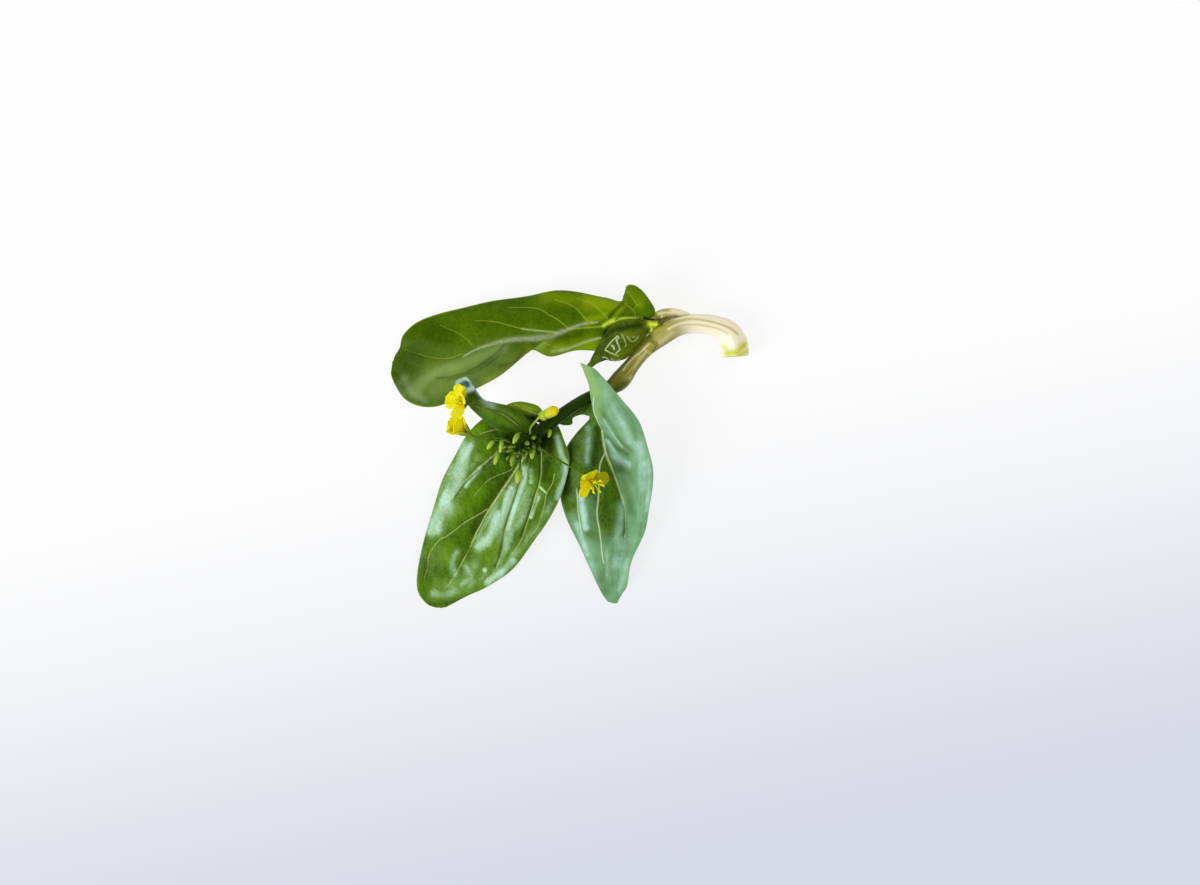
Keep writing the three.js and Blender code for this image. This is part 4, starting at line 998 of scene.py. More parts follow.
# Colours between the fibres and along them: cream at the cut, then olive, then dark green to the flowers
STEM_CREAM = ["#E6DCC0", "#EFE7D2"]
STEM_OLIVE = ["#7F7B2B", "#9F9A4A"]
STEM_YOUNG = ["#142702", "#243A05"]
# Between which columns of pixels the skin turns olive, and dark green
STEM_OLIVE_PX = [696, 670]
STEM_YOUNG_PX = [618, 592]
# Marks on the skin: strength, half width, way points. The pale streaks are the ribs' own pale colour,
# with a painted highlight along the lower stem.
STEM_PALE_PX = [
    (0.9, 1.3, [(664, 323), (671, 319.5), (680, 318), (687, 316.5), (698, 316.3), (708, 318.3), (720, 321.7),
                (728, 324), (738, 330), (745, 338)]),
    (0.8, 1.2, [(668, 329), (676, 325), (686.7, 322.5), (698, 322), (711, 324), (720, 326.7), (730, 331.7),
                (738, 338)]),
    (0.8, 0.6, [(649, 344), (640, 352.5), (633, 358), (626.7, 365), (623.3, 370)]),
    (0.35, 2.5, [(672, 333), (660, 343)]),
    (0.3, 1.2, [(646, 352), (636, 366), (630, 378)]),
]
STEM_GROOVE_PX = [
    (0.5, 3.0, [(640, 357), (630, 372), (622, 385)]),
    (0.85, 1.2, [(660, 331), (668, 325), (675, 321.5), (681.7, 320), (690, 319.2), (700, 319.6), (712.5, 322),
                 (720, 324.2), (730, 328.3), (738, 334)]),
    (0.75, 1.0, [(664, 334), (672, 329), (680, 326), (688, 324.5), (700, 325), (711.7, 327), (720, 329.5),
                 (728, 334)]),
    (0.6, 4.0, [(656, 338), (662, 334), (668, 331)]),
    (0.8, 1.5, [(650, 343), (644, 349), (652, 354)]),
]
STEM_LIME_PX = [
    (1.0, 4.5, [(728, 354), (738, 353)]),
    (1.0, 3.5, [(739, 350), (744, 345)]),
    (0.9, 2.5, [(747, 351), (740, 355)]),
    (0.6, 3.0, [(723, 347), (728, 350)]),
    (0.9, 2.0, [(655, 330), (659, 327)]),
]
# The leaf scar's rings, darker green along the lower stem, and painted shade under the large leaf's stalk
STEM_DARK_PX = [
    (0.8, 1.4, [(657, 328), (663, 320.5), (672, 316.5)]),
    (0.9, 3.0, [(650, 337), (640, 346), (630, 357), (618, 370), (606, 384)]),
    (0.85, 0.7, [(650, 341.7), (653.3, 342.5), (655.4, 346.7), (653, 352)]),
    (0.8, 0.6, [(651.7, 340.4), (656.7, 342.5), (657, 346)]),
    (0.8, 0.6, [(624, 374), (628, 370), (636, 360)]),
    (0.85, 6.0, [(624, 384), (614, 392)]),
    (0.6, 1.2, [(627, 376), (634, 370)]),
    (0.35, 3.0, [(642, 362), (632, 375)]),
]


def tube_part(route, radii, sides, steps, section=None, dish=0.0, masks=None):
    """Round body along a route in millimetres, as the solid has it; masks(pixels, t, turn) values it."""
    shares = np.linspace(0, 1, steps + 1)
    centres = smooth_line(route, shares)
    ahead = np.gradient(centres, axis=0)
    ahead /= np.maximum(np.linalg.norm(ahead, axis=-1, keepdims=True), 1e-9)
    radius = smooth_line(np.asarray(radii, float)[:, None], shares)[:, 0]
    angle = np.arange(sides) / sides * 2 * np.pi
    across = np.array([0.0, 0.0, 1.0])
    rings = []
    for k in range(steps + 1):
        across = across - ahead[k] * (across @ ahead[k])
        across /= np.linalg.norm(across)
        beside = np.cross(ahead[k], across)
        reach = radius[k] * (section(angle, shares[k]) if section else np.ones(sides))
        rings.append(centres[k] + np.cos(angle)[:, None] * reach[:, None] * across
                     + np.sin(angle)[:, None] * reach[:, None] * beside)
    rings = np.array(rings)
    rings[..., 2] = np.maximum(rings[..., 2], 0)
    points = np.concatenate([rings.reshape(-1, 3), [centres[0] + dish * ahead[0]], [centres[-1]]]) * MM
    number = np.arange((steps + 1) * sides).reshape(steps + 1, sides)
    after = np.roll(number, -1, axis=1)
    faces = np.stack([number[:-1], after[:-1], after[1:], number[1:]], -1).reshape(-1, 4).tolist()
    first, last = len(points) - 2, len(points) - 1
    faces += [[first, after[0, i], number[0, i]] for i in range(sides)]
    faces += [[last, number[-1, i], after[-1, i]] for i in range(sides)]
    place = np.concatenate([np.repeat(shares, sides), [0, 1]])
    turn = np.concatenate([np.tile(angle, steps + 1), [0, 0]])
    return {"points": points, "faces": faces, "masks": masks(photo_pixels(points), place, turn)}


def stem_section(angle, t):
    """Reach of the skin at each angle, as a share of the radius."""
    reach = 1 - STEM_INSET + STEM_RIDGE_DEPTH * (1 - t) * np.cos(STEM_RIDGES * angle + 4 * t)
    for depth, count, twist in STEM_FINE_RIBS:
        reach = reach + depth * (1 - 0.5 * t) * np.cos(count * angle + twist * t)
    return reach


def flesh_masks(pixels, turn, width, length, young, olive, pale, groove, lime, dark):
    """Values of stem flesh: the given ones, and where a place lies among the fibres."""
    return {"young": young, "olive": olive, "pale": strokes(pixels, pale), "groove": groove,
            "lime": strokes(pixels, lime), "dark": strokes(pixels, dark), "fibre_x": width * np.cos(turn),
            "fibre_y": width * np.sin(turn), "fibre_z": length / FIBRE_STRETCH}


def stem_masks(pixels, t, turn):
    return flesh_masks(pixels, turn, 4, STEM_LENGTH * t, soft_step(pixels[:, 0], *STEM_YOUNG_PX),
                       soft_step(pixels[:, 0], *STEM_OLIVE_PX), STEM_PALE_PX,
                       strokes(pixels, STEM_GROOVE_PX), STEM_LIME_PX, STEM_DARK_PX)


# Smooth moist skin over white flesh: its long fibres show through as faint streaks
flesh, tree, place, value = new_material(
    "ribbed_stem_skin",
    ["young", "olive", "pale", "groove", "lime", "dark", "fibre_x", "fibre_y", "fibre_z"])
along = add(tree, "ShaderNodeCombineXYZ", X=value["fibre_x"], Y=value["fibre_y"], Z=value["fibre_z"])
streak = add(tree, "ShaderNodeTexNoise", Vector=along.outputs[0], Scale=1 / STEM_FIBRE, Detail=4.0,
             Roughness=0.6)
share = add(tree, "ShaderNodeMapRange", Value=streak.outputs["Fac"], From_Min=0.38, From_Max=0.62)
ragged = add(tree, "ShaderNodeTexNoise", Vector=place, Scale=1 / FRAY, Detail=3.0)
torn = add(tree, "ShaderNodeMapRange", {"interpolation_type": "SMOOTHSTEP"}, Value=ragged.outputs["Fac"],
           From_Min=0.36, From_Max=0.54, To_Min=0.85, To_Max=1.0)
yellowed = add(tree, "ShaderNodeMath", {"operation": "MULTIPLY"}, _0=value["lime"], _1=torn.outputs["Result"])
cream, olive, young = [layered(tree, gap, [(share.outputs["Result"], fibre)])
                       for gap, fibre in (STEM_CREAM, STEM_OLIVE, STEM_YOUNG)]
# Over the stem's own colours, the pale marks add painted highlight and the dark ones partly painted shade
colour = layered(tree, cream, [
    (value["olive"], olive), (value["groove"], "#B5AD5A"), (value["pale"], "#ECE3C4"),
    (value["young"], young), (value["dark"], "#4C540A"), (yellowed.outputs[0], "#BEC600")])
finish_skin(tree, colour, streak.outputs["Fac"], 0.3, Roughness=0.38, Specular_IOR_Level=0.12,
            Coat_Weight=0.03, Coat_Roughness=0.2, Subsurface_Weight=0.25, Subsurface_Radius=(1.0, 0.9, 0.5),
            Subsurface_Scale=1.5 * MM)

stem_body = tube_part(STEM_ROUTE, STEM_RADII, 64, 280, stem_section, CUT_DISH, stem_masks)
stem = make_piece("main_stem", [stem_body], flesh)
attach(stem, "root")
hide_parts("stem")

# The large leaf's stalk is a half clasping strap of the same flesh that merges with the stem
LARGE_STALK_ROUTE = [[50, 55.9, 8.6], [45, 56.6, 10], [40.2, 56.3, 11.6], [35.9, 55, 13], [31, 54.2, 14.2]]
LARGE_STALK_RADII = [0.7, 1.6, 1.9, 1.7, 0.9]
# A wing at the foot of the leaf clasps the stem and fills the corner between stalk and stem
STALK_WING = [
    [[33.2, 56.6, 10.5], [34.4, 53, 9.8], [35.6, 48.8, 9.5], 0.3, 0.3],
    [[36.5, 56.6, 10.5], [37.2, 53.6, 9.6], [38, 49.5, 9], 0.3, 0.3],
    [[40.5, 56.3, 10], [41, 53.8, 9.2], [41.5, 51, 8.6], 0.2, 0.2],
    [[45.5, 56, 9], [46, 54.6, 8.6], [46.5, 53, 8], 0.1, 0.1],
    [[50.5, 55.6, 7.8], [50.8, 55.2, 7.6], [51, 54.6, 7.4], 0, 0],
]
# Where the strap turns dark green, and marks on it as on the stem: painted highlight along its top, over
# its pale olive colour, and painted shade along its underside and in the hollow where it meets the leaves
STALK_YOUNG_PX = [655, 648]
STALK_LIME_PX = [(1.0, 3.5, [(650.5, 327), (656, 325.5)])]
STALK_PALE_PX = [
    (0.9, 0.9, [(658, 313.5), (664, 312.5), (674, 313)]),
    (0.8, 0.8, [(661.7, 315), (661.7, 320)]),
    (0.7, 1.0, [(671, 317.5), (680, 315), (688, 315.4)]),
    (0.9, 4.0, [(673, 311), (688, 312)]),
]
STALK_DARK_PX = [
    (0.7, 1.6, [(650, 313), (655, 316), (660, 319)]),
    (0.6, 1.6, [(660, 323), (666, 318), (676, 316)]),
    (0.8, 1.8, [(646, 331), (648, 320)]),
]


def stalk_masks(pixels, t, side):
    return flesh_masks(pixels, side, 2, 20 * t, soft_step(pixels[..., 0], *STALK_YOUNG_PX), 0 * t + 1,
                       STALK_PALE_PX, 0 * t + 0.5, STALK_LIME_PX, STALK_DARK_PX)


stalk_body = tube_part(LARGE_STALK_ROUTE, LARGE_STALK_RADII, 24, 60, masks=stalk_masks)
stalk_wing = blade_part(STALK_WING, 81, 41, stalk_masks, thickness=0.8 * MM)
large_stalk = make_piece("large_leaf_stalk", [stalk_body, stalk_wing], flesh)
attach(large_stalk, "root")


# The flowering top: a short axis crowded with green buds on thin stalks, and the longer stalks of the open
# flowers with four narrow sepals each.
AXIS_ROUTE = [[-13, 6.4, 18.2], [-14.3, 5.4, 18.6], [-18.5, 1.5, 20], [-21.5, -1, 21.5], [-23.5, -3, 22.5]]
AXIS_RADII = [2.1, 2, 1.8, 1.5, 0.8]
STALK_RADIUS = 0.5
FLOWER_STALK_RADIUS = 0.42
# The two last radii of a flower's stalk, where it widens under the flower
FLOWER_NECK_RADII = [0.6, 1.0]
# The opening bud's stalk, which widens into the sepals that hold its petals
OPENING_STALK = [[-16, 5, 19.4], [-15.9, 8.2, 20.8], [-13.8, 11, 21.7], [-12.3, 12.5, 22],
                 [-11.6, 12.9, 22], [-10, 13.7, 22]]
OPENING_STALK_RADII = [0.5, 0.45, 0.45, 0.65, 1.85, 2.15]
# Each outer bud: start of its stalk, foot, tip, radius, and tone from dark 0 to light 1
OUTER_BUDS = [
    [[-20, 2, 20], [-30.9, 3.4, 20], [-34, -0.5, 19], 1.05, 0.8],
    [[-21, 1.5, 20.5], [-27.5, 3.6, 21.5], [-28.5, -2, 20.5], 0.9, 1.0],
    [[-22, -0.5, 21], [-29, -1.6, 19.5], [-31, -7, 18], 1.0, 0.85],
    [[-17.5, 4, 19.8], [-20.6, 6.4, 23.4], [-23, 1.8, 24], 1.15, 0.7],
    [[-17, 2.5, 19.5], [-15.0, 1.0, 19.8], [-15.4, -4.6, 19], 1.2, 0.75],
    [[-12.5, 5.5, 19], [-7.6, 7.8, 20], [-8.5, 4.3, 20], 0.85, 0.9],
    [[-21.5, -1, 21.5], [-22.6, -3.7, 21], [-24, -7.6, 20], 1.0, 0.45],
    [[-20, -0.5, 20.5], [-20.5, -8.6, 18], [-21.5, -14.5, 17.5], 1.35, 0.95],
    [[-16, 3.5, 19.5], [-13, 1, 20.5], [-11, -1.5, 20.5], 0.9, 0.2],
]
OUTER_STALK_BOW = 0.8
# The inner buds stand round the axis by the golden section: their bearings and climbs are in radians, their
# reach and length in millimetres, and the ones near its end are crowded closer to it
INNER_BUDS = 46
GOLDEN_SHARE = (5 ** 0.5 - 1) / 2
BEARING_FROM = 0.5
BEARING_SPAN = -1.2 * np.pi
CLIMB_FROM = 0.02 * np.pi
CLIMB_SPAN = 0.42 * np.pi
INNER_BUD_REACH = 8.2
INNER_BUD_CROWDING = 1 / 1.9
INNER_BUD_LENGTH = 4.2
INNER_BUD_SWAY = 0.5
INNER_BUD_SAG = 0.4
# Most inner buds are dark: painted shade for the crowded middle of the cluster
INNER_BUD_TONES = [0.05, 0.2, 0.0, 0.5, 0.1, 0.3, 0.02, 0.15]
INNER_STALK_BOW = 0.2
# Each flower: seat of its petals, the way it faces, how far its sepals lean out in degrees, their tone and
# size, how far its stamens reach, its petals and its stalk. Each petal: degrees round the flower, degrees
# that it opens, degrees that it twists, share of full width, and how deep in shade it is coloured.
FLOWERS = {
    "flower_upper": {
        "seat": [-42.3, 18.4, 26], "facing": [-0.62, 0.15, 0.77], "sepal_lean": 42, "sepal_tone": 0.7,
        "sepal_size": 1.0, "stamen_reach": 1.0,
        "petals": [[12, 62, 0, 1.05, 0.0], [125, 42, 15, 0.8, 0.05], [188, 62, 15, 0.85, 0.0],
                   [272, 76, 0, 1.1, 0.0]],
        "stalk": [[-17, 3, 19.8], [-21, 10, 23.6], [-27, 14.5, 26.3], [-35, 16.3, 26.6]],
    },
    "flower_lower": {
        "seat": [-41.4, 6.1, 22.5], "facing": [-0.72, 0.5, 0.48], "sepal_lean": 27, "sepal_tone": 1.0,
        "sepal_size": 1.3, "stamen_reach": 1.0,
        "petals": [[0, 34, 0, 1.05, 0.0], [95, 24, 0, 1.1, 0.0], [180, 34, 0, 1.05, 0.0],
                   [270, 28, 0, 1.1, 0.0]],
        "stalk": [[-19, 1.5, 20.3], [-26, 3.4, 21.6], [-31, 4.4, 22], [-38, 4.4, 22]],
    },
    "flower_right": {
        "seat": [7.7, -12.3, 20.2], "facing": [0.5, -0.45, 0.74], "sepal_lean": 35, "sepal_tone": 0.8,
        "sepal_size": 1.0, "stamen_reach": 1.7,
        "petals": [[-40, 75, 0, 0.95, 0.95], [72, 62, -20, 1.1, 0.1], [135, 58, 50, 0.8, 0.25],
                   [192, 84, 60, 0.55, 0.0]],
        "stalk": [[-15, 4, 19.2], [-11, -0.5, 21], [-4, -5, 20.6], [2, -8.6, 19]],
    },
}
# Sepals: radius and height of their foot, length, and half widths from foot to tip
SEPAL_FOOT = 0.6
SEPAL_DROP = -0.6
SEPAL_LENGTH = 5.2
SEPAL_WIDTHS = [0.5, 0.95, 1.1, 0.85, 0.25]
GREEN_BLOTCH = 2.5 * MM


def green_skin(name, deep, fresh, tip, tone_name="tip"):
    """Thin smooth green skin; the tip attribute runs from 0 at the foot to 1 at the end."""
    made, tree, place, value = new_material(name, ["tip", tone_name])
    blotch = add(tree, "ShaderNodeTexNoise", Vector=place, Scale=1 / GREEN_BLOTCH, Detail=3.0)
    tone = value[tone_name]
    shade = add(tree, "ShaderNodeMath", {"operation": "MULTIPLY_ADD", "use_clamp": True},
                _0=blotch.outputs["Fac"], _1=0.4, _2=tone)
    shade = add(tree, "ShaderNodeMath", {"operation": "ADD", "use_clamp": True}, _0=shade.outputs[0], _1=-0.2)
    ripe = add(tree, "ShaderNodeMath", {"operation": "MULTIPLY"}, _0=value["tip"], _1=tone)
    colour = layered(tree, deep, [(shade.outputs[0], fresh), (ripe.outputs[0], tip)])
    finish_skin(tree, colour, blotch.outputs["Fac"], 0.3, Roughness=0.42, Specular_IOR_Level=0.12,
                Coat_Weight=0.04, Coat_Roughness=0.3)
    return made


def flower_frame(flower):
    """Place of radius, degrees and height about the facing of a flower, in millimetres."""
    face = np.array(flower["facing"], float)
    face /= np.linalg.norm(face)
    side = np.cross([0, 0, 1], face)
    side /= np.linalg.norm(side)
    up = np.cross(face, side)

    def place(radius, degrees, height):
        angle = np.radians(degrees)
        return np.array(flower["seat"]) + face * height + radius * (np.cos(angle) * side + np.sin(angle) * up)
    return place


def flower_blade_ribs(place, degrees, stations, swell, twist=0.0):
    """Ribs of a petal or sepal from its stations, each radius, height and half width."""
    ribs = []
    along = place(1, degrees, 0) - place(0, 0, 0)
    across = place(1, degrees + 90, 0) - place(0, 0, 0)
    rising = np.cross(along, across)
    for k, (radius, height, half_width) in enumerate(stations):
        turn = np.radians(twist) * k / (len(stations) - 1)
        mid = place(radius, degrees, height)
        chord = half_width * (np.cos(turn) * across + np.sin(turn) * rising)
        ribs.append([(mid - chord).tolist(), mid.tolist(), (mid + chord).tolist(), swell, swell])
    return ribs


def scattered(number, step):
    """A share from 0 to 1 that scatters evenly while the number counts up."""
    return number * step % 1


# Each bud: the way points of its stalk, its foot, tip, radius and tone
buds = []
for start, foot, tip, girth, tone in OUTER_BUDS:
    start, foot, tip = np.array(start, float), np.array(foot, float), np.array(tip, float)
    buds.append(([start, (start + foot) / 2 + [0, 0, OUTER_STALK_BOW], foot], foot, tip, girth, tone))
for i in range(INNER_BUDS):
    t = (i + 0.5) / INNER_BUDS
    start = smooth_line(AXIS_ROUTE[1:], np.array([t]))[0]
    bearing = BEARING_FROM + BEARING_SPAN * scattered(i, GOLDEN_SHARE)
    climb = CLIMB_FROM + CLIMB_SPAN * scattered(i, GOLDEN_SHARE ** 2)
    reach = INNER_BUD_REACH * (1 - INNER_BUD_CROWDING * t) * (0.72 + 0.28 * scattered(i, 0.37))
    way = np.array([np.cos(bearing) * np.cos(climb), np.sin(bearing) * np.cos(climb), np.sin(climb)])
    foot = start + way * (reach - INNER_BUD_LENGTH)
    sway = [INNER_BUD_SWAY * np.sin(7.0 * i), INNER_BUD_SWAY * np.cos(5.0 * i) - INNER_BUD_SAG, 0]
    tip = start + way * reach + sway
    girth = 0.9 + 0.22 * scattered(i, 0.61)
    tone = INNER_BUD_TONES[i % len(INNER_BUD_TONES)]
    buds.append(([start, (start + foot) / 2 + [0, 0, INNER_STALK_BOW], foot], foot, tip, girth, tone))


def tip_mask(start, end):
    """Masks that run evenly from the foot of a part to its end."""
    return lambda pixels, t, side: {"tip": start + (end - start) * t}


top_parts = [tube_part(AXIS_ROUTE, AXIS_RADII, 24, 40, masks=tip_mask(0, 0.1))]
for stalk, _, _, _, tone in buds:
    top_parts.append(tube_part(stalk, [STALK_RADIUS] * 3, 8, 10, masks=tip_mask(0, 0.4 * tone)))
for flower in FLOWERS.values():
    place = flower_frame(flower)
    route = [*flower["stalk"], place(0, 0, -2.4), place(0, 0, -0.35)]
    radii = [FLOWER_STALK_RADIUS] * len(flower["stalk"]) + FLOWER_NECK_RADII
    top_parts.append(tube_part(route, radii, 12, 60, masks=tip_mask(0.15, 0.5)))
    lean = np.radians(flower["sepal_lean"])
    tone = flower["sepal_tone"]
    size = flower["sepal_size"]
    stations = []
    for k, half_width in enumerate(SEPAL_WIDTHS):
        length = size * SEPAL_LENGTH * k / (len(SEPAL_WIDTHS) - 1)
        stations.append([SEPAL_FOOT + np.sin(lean) * length, SEPAL_DROP + np.cos(lean) * length,
                         size * half_width])
    for i in range(4):
        ribs = flower_blade_ribs(place, flower["petals"][0][0] + i * 90 + 45, stations, 0.25)
        top_parts.append(blade_part(ribs, 17, 9, tip_mask(0.6 * tone, tone), thickness=0.25 * MM,
                                    margin=0.2 * MM))
top_parts.append(tube_part(OPENING_STALK, OPENING_STALK_RADII, 20, 40, masks=tip_mask(0.6, 1.0)))

top_skin = green_skin("flower_stalk_skin", deep="#152A02", fresh="#4A7412", tip="#A4BA34")
flowering_top = make_piece("flowering_top", top_parts, top_skin)
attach(flowering_top, "root")
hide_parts("bud_cluster")


# Buds are four sepals closed over the petals: long, a little ribbed, and narrower towards the tip. There are
# so many that each has only a few hundred faces.
BUD_SEGMENTS = 16
BUD_RINGS = 12
BUD_TAPER = -0.18
BUD_RIB_DEPTH = 0.07


def bud_tree():
    """Geometry nodes that stand a bud on every point, along its direction and at its size."""
    tree = bpy.data.node_groups.new("buds_on_stalks", "GeometryNodeTree")
    for name, kind in (("Feet", "Geometry"), ("Segments", "Int"), ("Rings", "Int"), ("Taper", "Float"),
                       ("Skin", "Material")):
        tree.interface.new_socket(name, in_out="INPUT", socket_type="NodeSocket" + kind)
    tree.interface.new_socket("Buds", in_out="OUTPUT", socket_type="NodeSocketGeometry")
    given = add(tree, "NodeGroupInput").outputs
    ball = add(tree, "GeometryNodeMeshUVSphere", Segments=given["Segments"], Rings=given["Rings"])
    spot = add(tree, "GeometryNodeInputPosition").outputs[0]
    split = add(tree, "ShaderNodeSeparateXYZ", Vector=spot)
    width = add(tree, "ShaderNodeMath", {"operation": "MULTIPLY_ADD"}, _0=split.outputs["Z"],
                _1=given["Taper"], _2=1.0)
    turn = add(tree, "ShaderNodeMath", {"operation": "ARCTAN2"}, _0=split.outputs["Y"], _1=split.outputs["X"])
    four = add(tree, "ShaderNodeMath", {"operation": "MULTIPLY"}, _0=turn.outputs[0], _1=4.0)
    rib = add(tree, "ShaderNodeMath", {"operation": "COSINE"}, _0=four.outputs[0])
    ribbed = add(tree, "ShaderNodeMath", {"operation": "MULTIPLY_ADD"}, _0=rib.outputs[0], _1=BUD_RIB_DEPTH,
                 _2=width.outputs[0])
    factor = add(tree, "ShaderNodeCombineXYZ", X=ribbed.outputs[0], Y=ribbed.outputs[0], Z=1.0)
    shaped = add(tree, "ShaderNodeVectorMath", {"operation": "MULTIPLY"}, _0=spot, _1=factor.outputs[0])
    bud = add(tree, "GeometryNodeSetPosition", Geometry=ball.outputs["Mesh"], Position=shaped.outputs[0])
    tip = add(tree, "ShaderNodeMapRange", Value=split.outputs["Z"], From_Min=-1.0, From_Max=1.0)
    marked = add(tree, "GeometryNodeStoreNamedAttribute", {"data_type": "FLOAT", "domain": "POINT"},
                 Geometry=bud.outputs["Geometry"], Name="tip")
    tree.links.new(tip.outputs["Result"], next(s for s in marked.inputs if s.name == "Value" and s.enabled))
    feet = add(tree, "GeometryNodeMeshToPoints", Mesh=given["Feet"])
    aim = add(tree, "GeometryNodeInputNamedAttribute", {"data_type": "FLOAT_VECTOR"}, Name="direction")
    size = add(tree, "GeometryNodeInputNamedAttribute", {"data_type": "FLOAT_VECTOR"}, Name="size")
    turned = add(tree, "FunctionNodeAlignRotationToVector", {"axis": "Z"}, Vector=aim.outputs[0])
    stood = add(tree, "GeometryNodeInstanceOnPoints", Points=feet.outputs[0], Instance=marked.outputs[0],
                Rotation=turned.outputs[0], Scale=size.outputs[0])
    real = add(tree, "GeometryNodeRealizeInstances", Geometry=stood.outputs[0])
    smooth = add(tree, "GeometryNodeSetShadeSmooth", Geometry=real.outputs[0])
    coloured = add(tree, "GeometryNodeSetMaterial", Geometry=smooth.outputs[0], Material=given["Skin"])
    add(tree, "NodeGroupOutput", Buds=coloured.outputs[0])
    return tree


def grow(name, tree, mesh, inputs):
    """A plain mesh object of what the tree grows on a mesh."""
    carrier = bpy.data.objects.new(name, mesh)
    bpy.context.scene.collection.objects.link(carrier)
    modifier = carrier.modifiers.new("growth", "NODES")
    modifier.node_group = tree
    for item in tree.interface.items_tree:
        if item.in_out == "INPUT" and item.name in inputs:
            modifier[item.identifier] = inputs[item.name]
    view = bpy.context.evaluated_depsgraph_get()
    grown = bpy.data.meshes.new_from_object(carrier.evaluated_get(view), depsgraph=view)
    carrier.modifiers.remove(modifier)
    carrier.data = grown
    return carrier


bud_skin = green_skin("bud_skin", deep="#142C02", fresh="#6F9A12", tip="#B4C940", tone_name="tone")
feet_mesh = bpy.data.meshes.new("bud_feet")
feet_mesh.from_pydata([((foot + tip) / 2 * MM).tolist() for _, foot, tip, _, _ in buds], [], [])
aims = np.array([(tip - foot) / np.linalg.norm(tip - foot) for _, foot, tip, _, _ in buds])
sizes = np.array([[girth, girth, np.linalg.norm(tip - foot) / 2] for _, foot, tip, girth, _ in buds]) * MM
for key, values in (("direction", aims), ("size", sizes)):
    attribute = feet_mesh.attributes.new(key, "FLOAT_VECTOR", "POINT")
    attribute.data.foreach_set("vector", values.ravel().astype(np.float32))
tones = feet_mesh.attributes.new("tone", "FLOAT", "POINT")
tones.data.foreach_set("value", [tone for _, _, _, _, tone in buds])
green_buds = grow("green_buds", bud_tree(), feet_mesh,
                  {"Segments": BUD_SEGMENTS, "Rings": BUD_RINGS, "Taper": BUD_TAPER, "Skin": bud_skin})
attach(green_buds, "root")


# Each open flower has four thin satin petals that narrow to a claw, six stamens and a green pistil.
PETAL_LENGTH = 9.6
CLAW_LENGTH = 2.4
LIMB_PLACE = 0.7
# Claw of a petal: radius, height and half width. Its limb: share of its length, and half width there.
PETAL_CLAW = [[0.62, 0.3, 0.3], [0.62, 1.4, 0.4]]
PETAL_LIMB = [(0, 1.0), (0.35, 2.8), (0.7, 3.5), (0.92, 2.6), (1, 0.9)]
PETAL_SWELL = 0.35
PETAL_BLOTCH = 2 * MM
STAMENS = 6
FILAMENT_RADII = [0.16, 0.16, 0.16]
ANTHER_RADII = [0.15, 0.45, 0.2]
PISTIL_RADII = [0.7, 0.45, 0.4]


def petal_skin(name, deep, fresh, edge, shaded):
    """Satin petal, thin enough to glow, its fine veins a little deeper in colour."""
    made, tree, place, value = new_material(name, ["vein", "rim", "shade"])
    blotch = add(tree, "ShaderNodeTexNoise", Vector=place, Scale=1 / PETAL_BLOTCH, Detail=3.0)
    colour = layered(tree, fresh, [(value["rim"], edge), (value["vein"], deep), (value["shade"], shaded)])
    finish_skin(tree, colour, blotch.outputs["Fac"], 0.25, 0.08 * MM, Roughness=0.5, Specular_IOR_Level=0.1,
                Subsurface_Weight=0.65, Subsurface_Radius=(1.0, 0.85, 0.1), Subsurface_Scale=1.6 * MM)
    return made


def petal_relief(pixels, t, u):
    pleats = 0.12 * np.cos(u * 11) * soft_step(t, 0.3, 0.7)
    return MM * (pleats + 0.25 * np.sin(9 * t + 3 * u) * np.abs(u) ** 2)


def petal_masks(shade):
    """Masks of a petal with its own shade: fine lines, a deeper throat and a lighter rim."""
    def masks(pixels, t, u):
        lines = np.clip(np.cos(u * 22) - 0.6, 0, 1) * 1.2 * np.clip(1.1 - t, 0, 1)
        throat = np.clip(1 - t / 0.45, 0, 1)
        return {"vein": np.maximum(0.45 * lines, 0.8 * throat), "rim": 0.7 * soft_step(np.abs(u), 0.6, 1.0),
                "shade": 0 * t + shade}
    return masks


def plain_masks(deep, shade):
    """Masks of a part with one colour all over."""
    return lambda pixels, t, turn: {"vein": 0 * t + deep, "rim": 0 * t, "shade": 0 * t + shade}


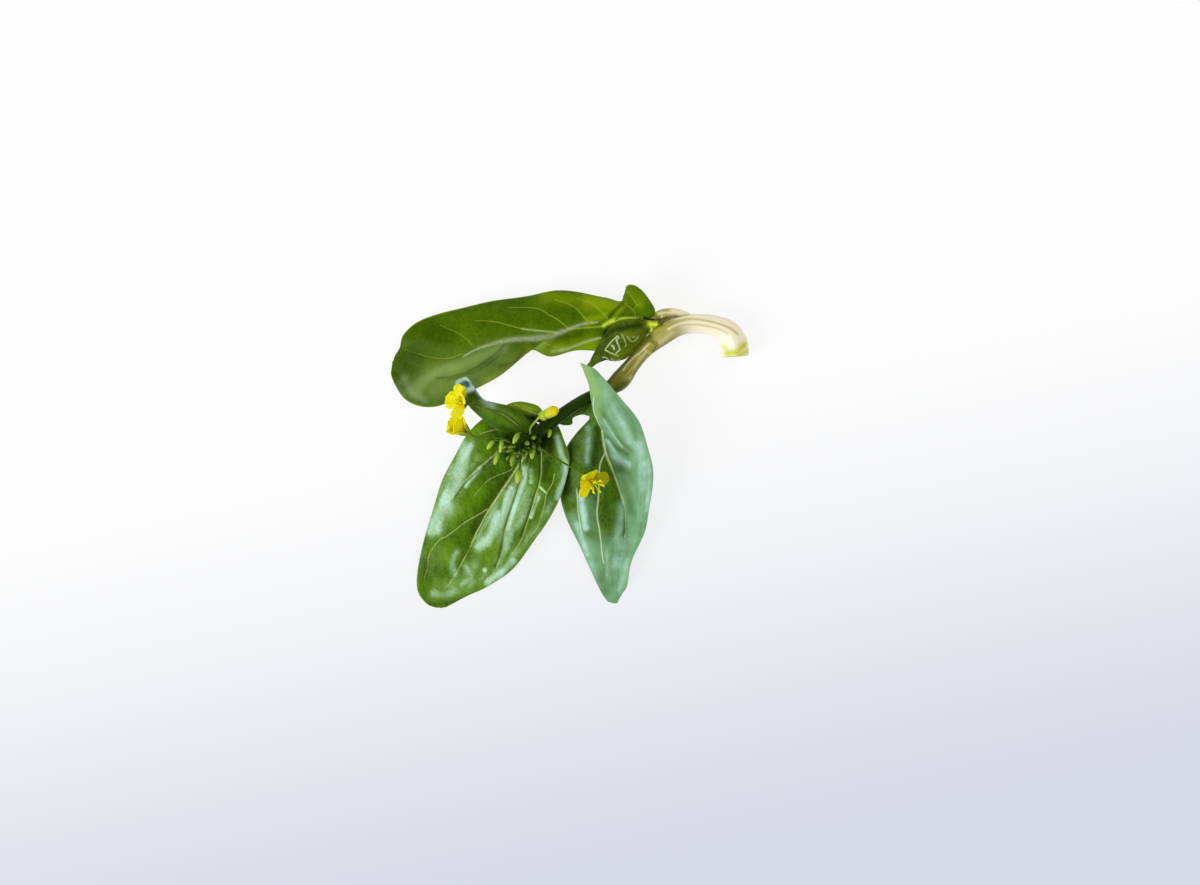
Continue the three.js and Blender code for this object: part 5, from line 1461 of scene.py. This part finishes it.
petal_finish = petal_skin("yellow_petal", deep="#DCC502", fresh="#DCCB02", edge="#E2D405", shaded="#8F8E02")
limb = PETAL_LENGTH - CLAW_LENGTH
for name, flower in FLOWERS.items():
    place = flower_frame(flower)
    parts = []
    for degrees, opening, twist, breadth, shade in flower["petals"]:
        tilt = np.radians(opening)
        stations = PETAL_CLAW + [
            [LIMB_PLACE + np.sin(tilt) * limb * share, CLAW_LENGTH + np.cos(tilt) * limb * share,
             half_width * breadth] for share, half_width in PETAL_LIMB]
        ribs = flower_blade_ribs(place, degrees, stations, PETAL_SWELL, twist)
        parts.append(blade_part(ribs, 41, 27, petal_masks(shade), petal_relief, thickness=0.25 * MM,
                                margin=0.15 * MM))
    reach = flower["stamen_reach"]
    for i in range(STAMENS):
        stand = i * 360 / STAMENS + 15
        filament = [place(0.5, stand, 1.8), place(1.1, stand, 2.6 * reach), place(1.5, stand, 4 * reach)]
        anther = [place(1.45, stand, 3.8 * reach), place(1.6 * reach, stand, 4.4 * reach),
                  place(1.65 * reach, stand, 5.3 * reach)]
        parts.append(tube_part(filament, FILAMENT_RADII, 8, 10, masks=plain_masks(0.2, 0.0)))
        parts.append(tube_part(anther, ANTHER_RADII, 8, 10, masks=plain_masks(0.6, 0.0)))
    pistil = [place(0, 0, 0), place(0, 0, 2.5), place(0, 0, 4.6)]
    parts.append(tube_part(pistil, PISTIL_RADII, 10, 12, masks=plain_masks(0.0, 0.35)))
    bloom = make_piece("open_" + name, parts, petal_finish)
    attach(bloom, "root")
    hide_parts(name)


# The bud that is just opening shows its petals still rolled together, orange at the very tip and green
# where its sepals clasp them.
OPENING_PETALS = [[-10.8, 13.3, 22], [-8.2, 14.5, 22.1], [-5.9, 15.6, 22.2], [-4.5, 16.3, 22.2]]
OPENING_RADII = [1.9, 2.25, 2.1, 1.1]
OPENING_GREEN_PX = [
    (0.9, 3.2, [(540, 420), (546, 419), (553, 418)]),
    (0.8, 3.0, [(541, 415), (545, 412)]),
    (0.5, 0.8, [(544, 413), (549, 410), (554, 407.5)]),
]


def rolled_section(angle, t):
    """Two petals wound round each other, as a share of the radius."""
    return 0.95 + 0.05 * np.cos(2 * angle + 6 * t)


def rolled_masks(pixels, t, turn):
    return {"vein": soft_step(t, 0.86, 1.0), "rim": 0.45 * soft_step(t, 0.6, 0.1),
            "shade": strokes(pixels, OPENING_GREEN_PX)}


rolled = tube_part(OPENING_PETALS, OPENING_RADII, 32, 40, rolled_section, masks=rolled_masks)
rolled_finish = petal_skin("rolled_petal", deep="#E58A10", fresh="#D6C80A", edge="#E2E070", shaded="#A3B82A")
opening_bud = make_piece("opening_flower_bud", [rolled], rolled_finish)
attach(opening_bud, "root")
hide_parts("opening_bud")
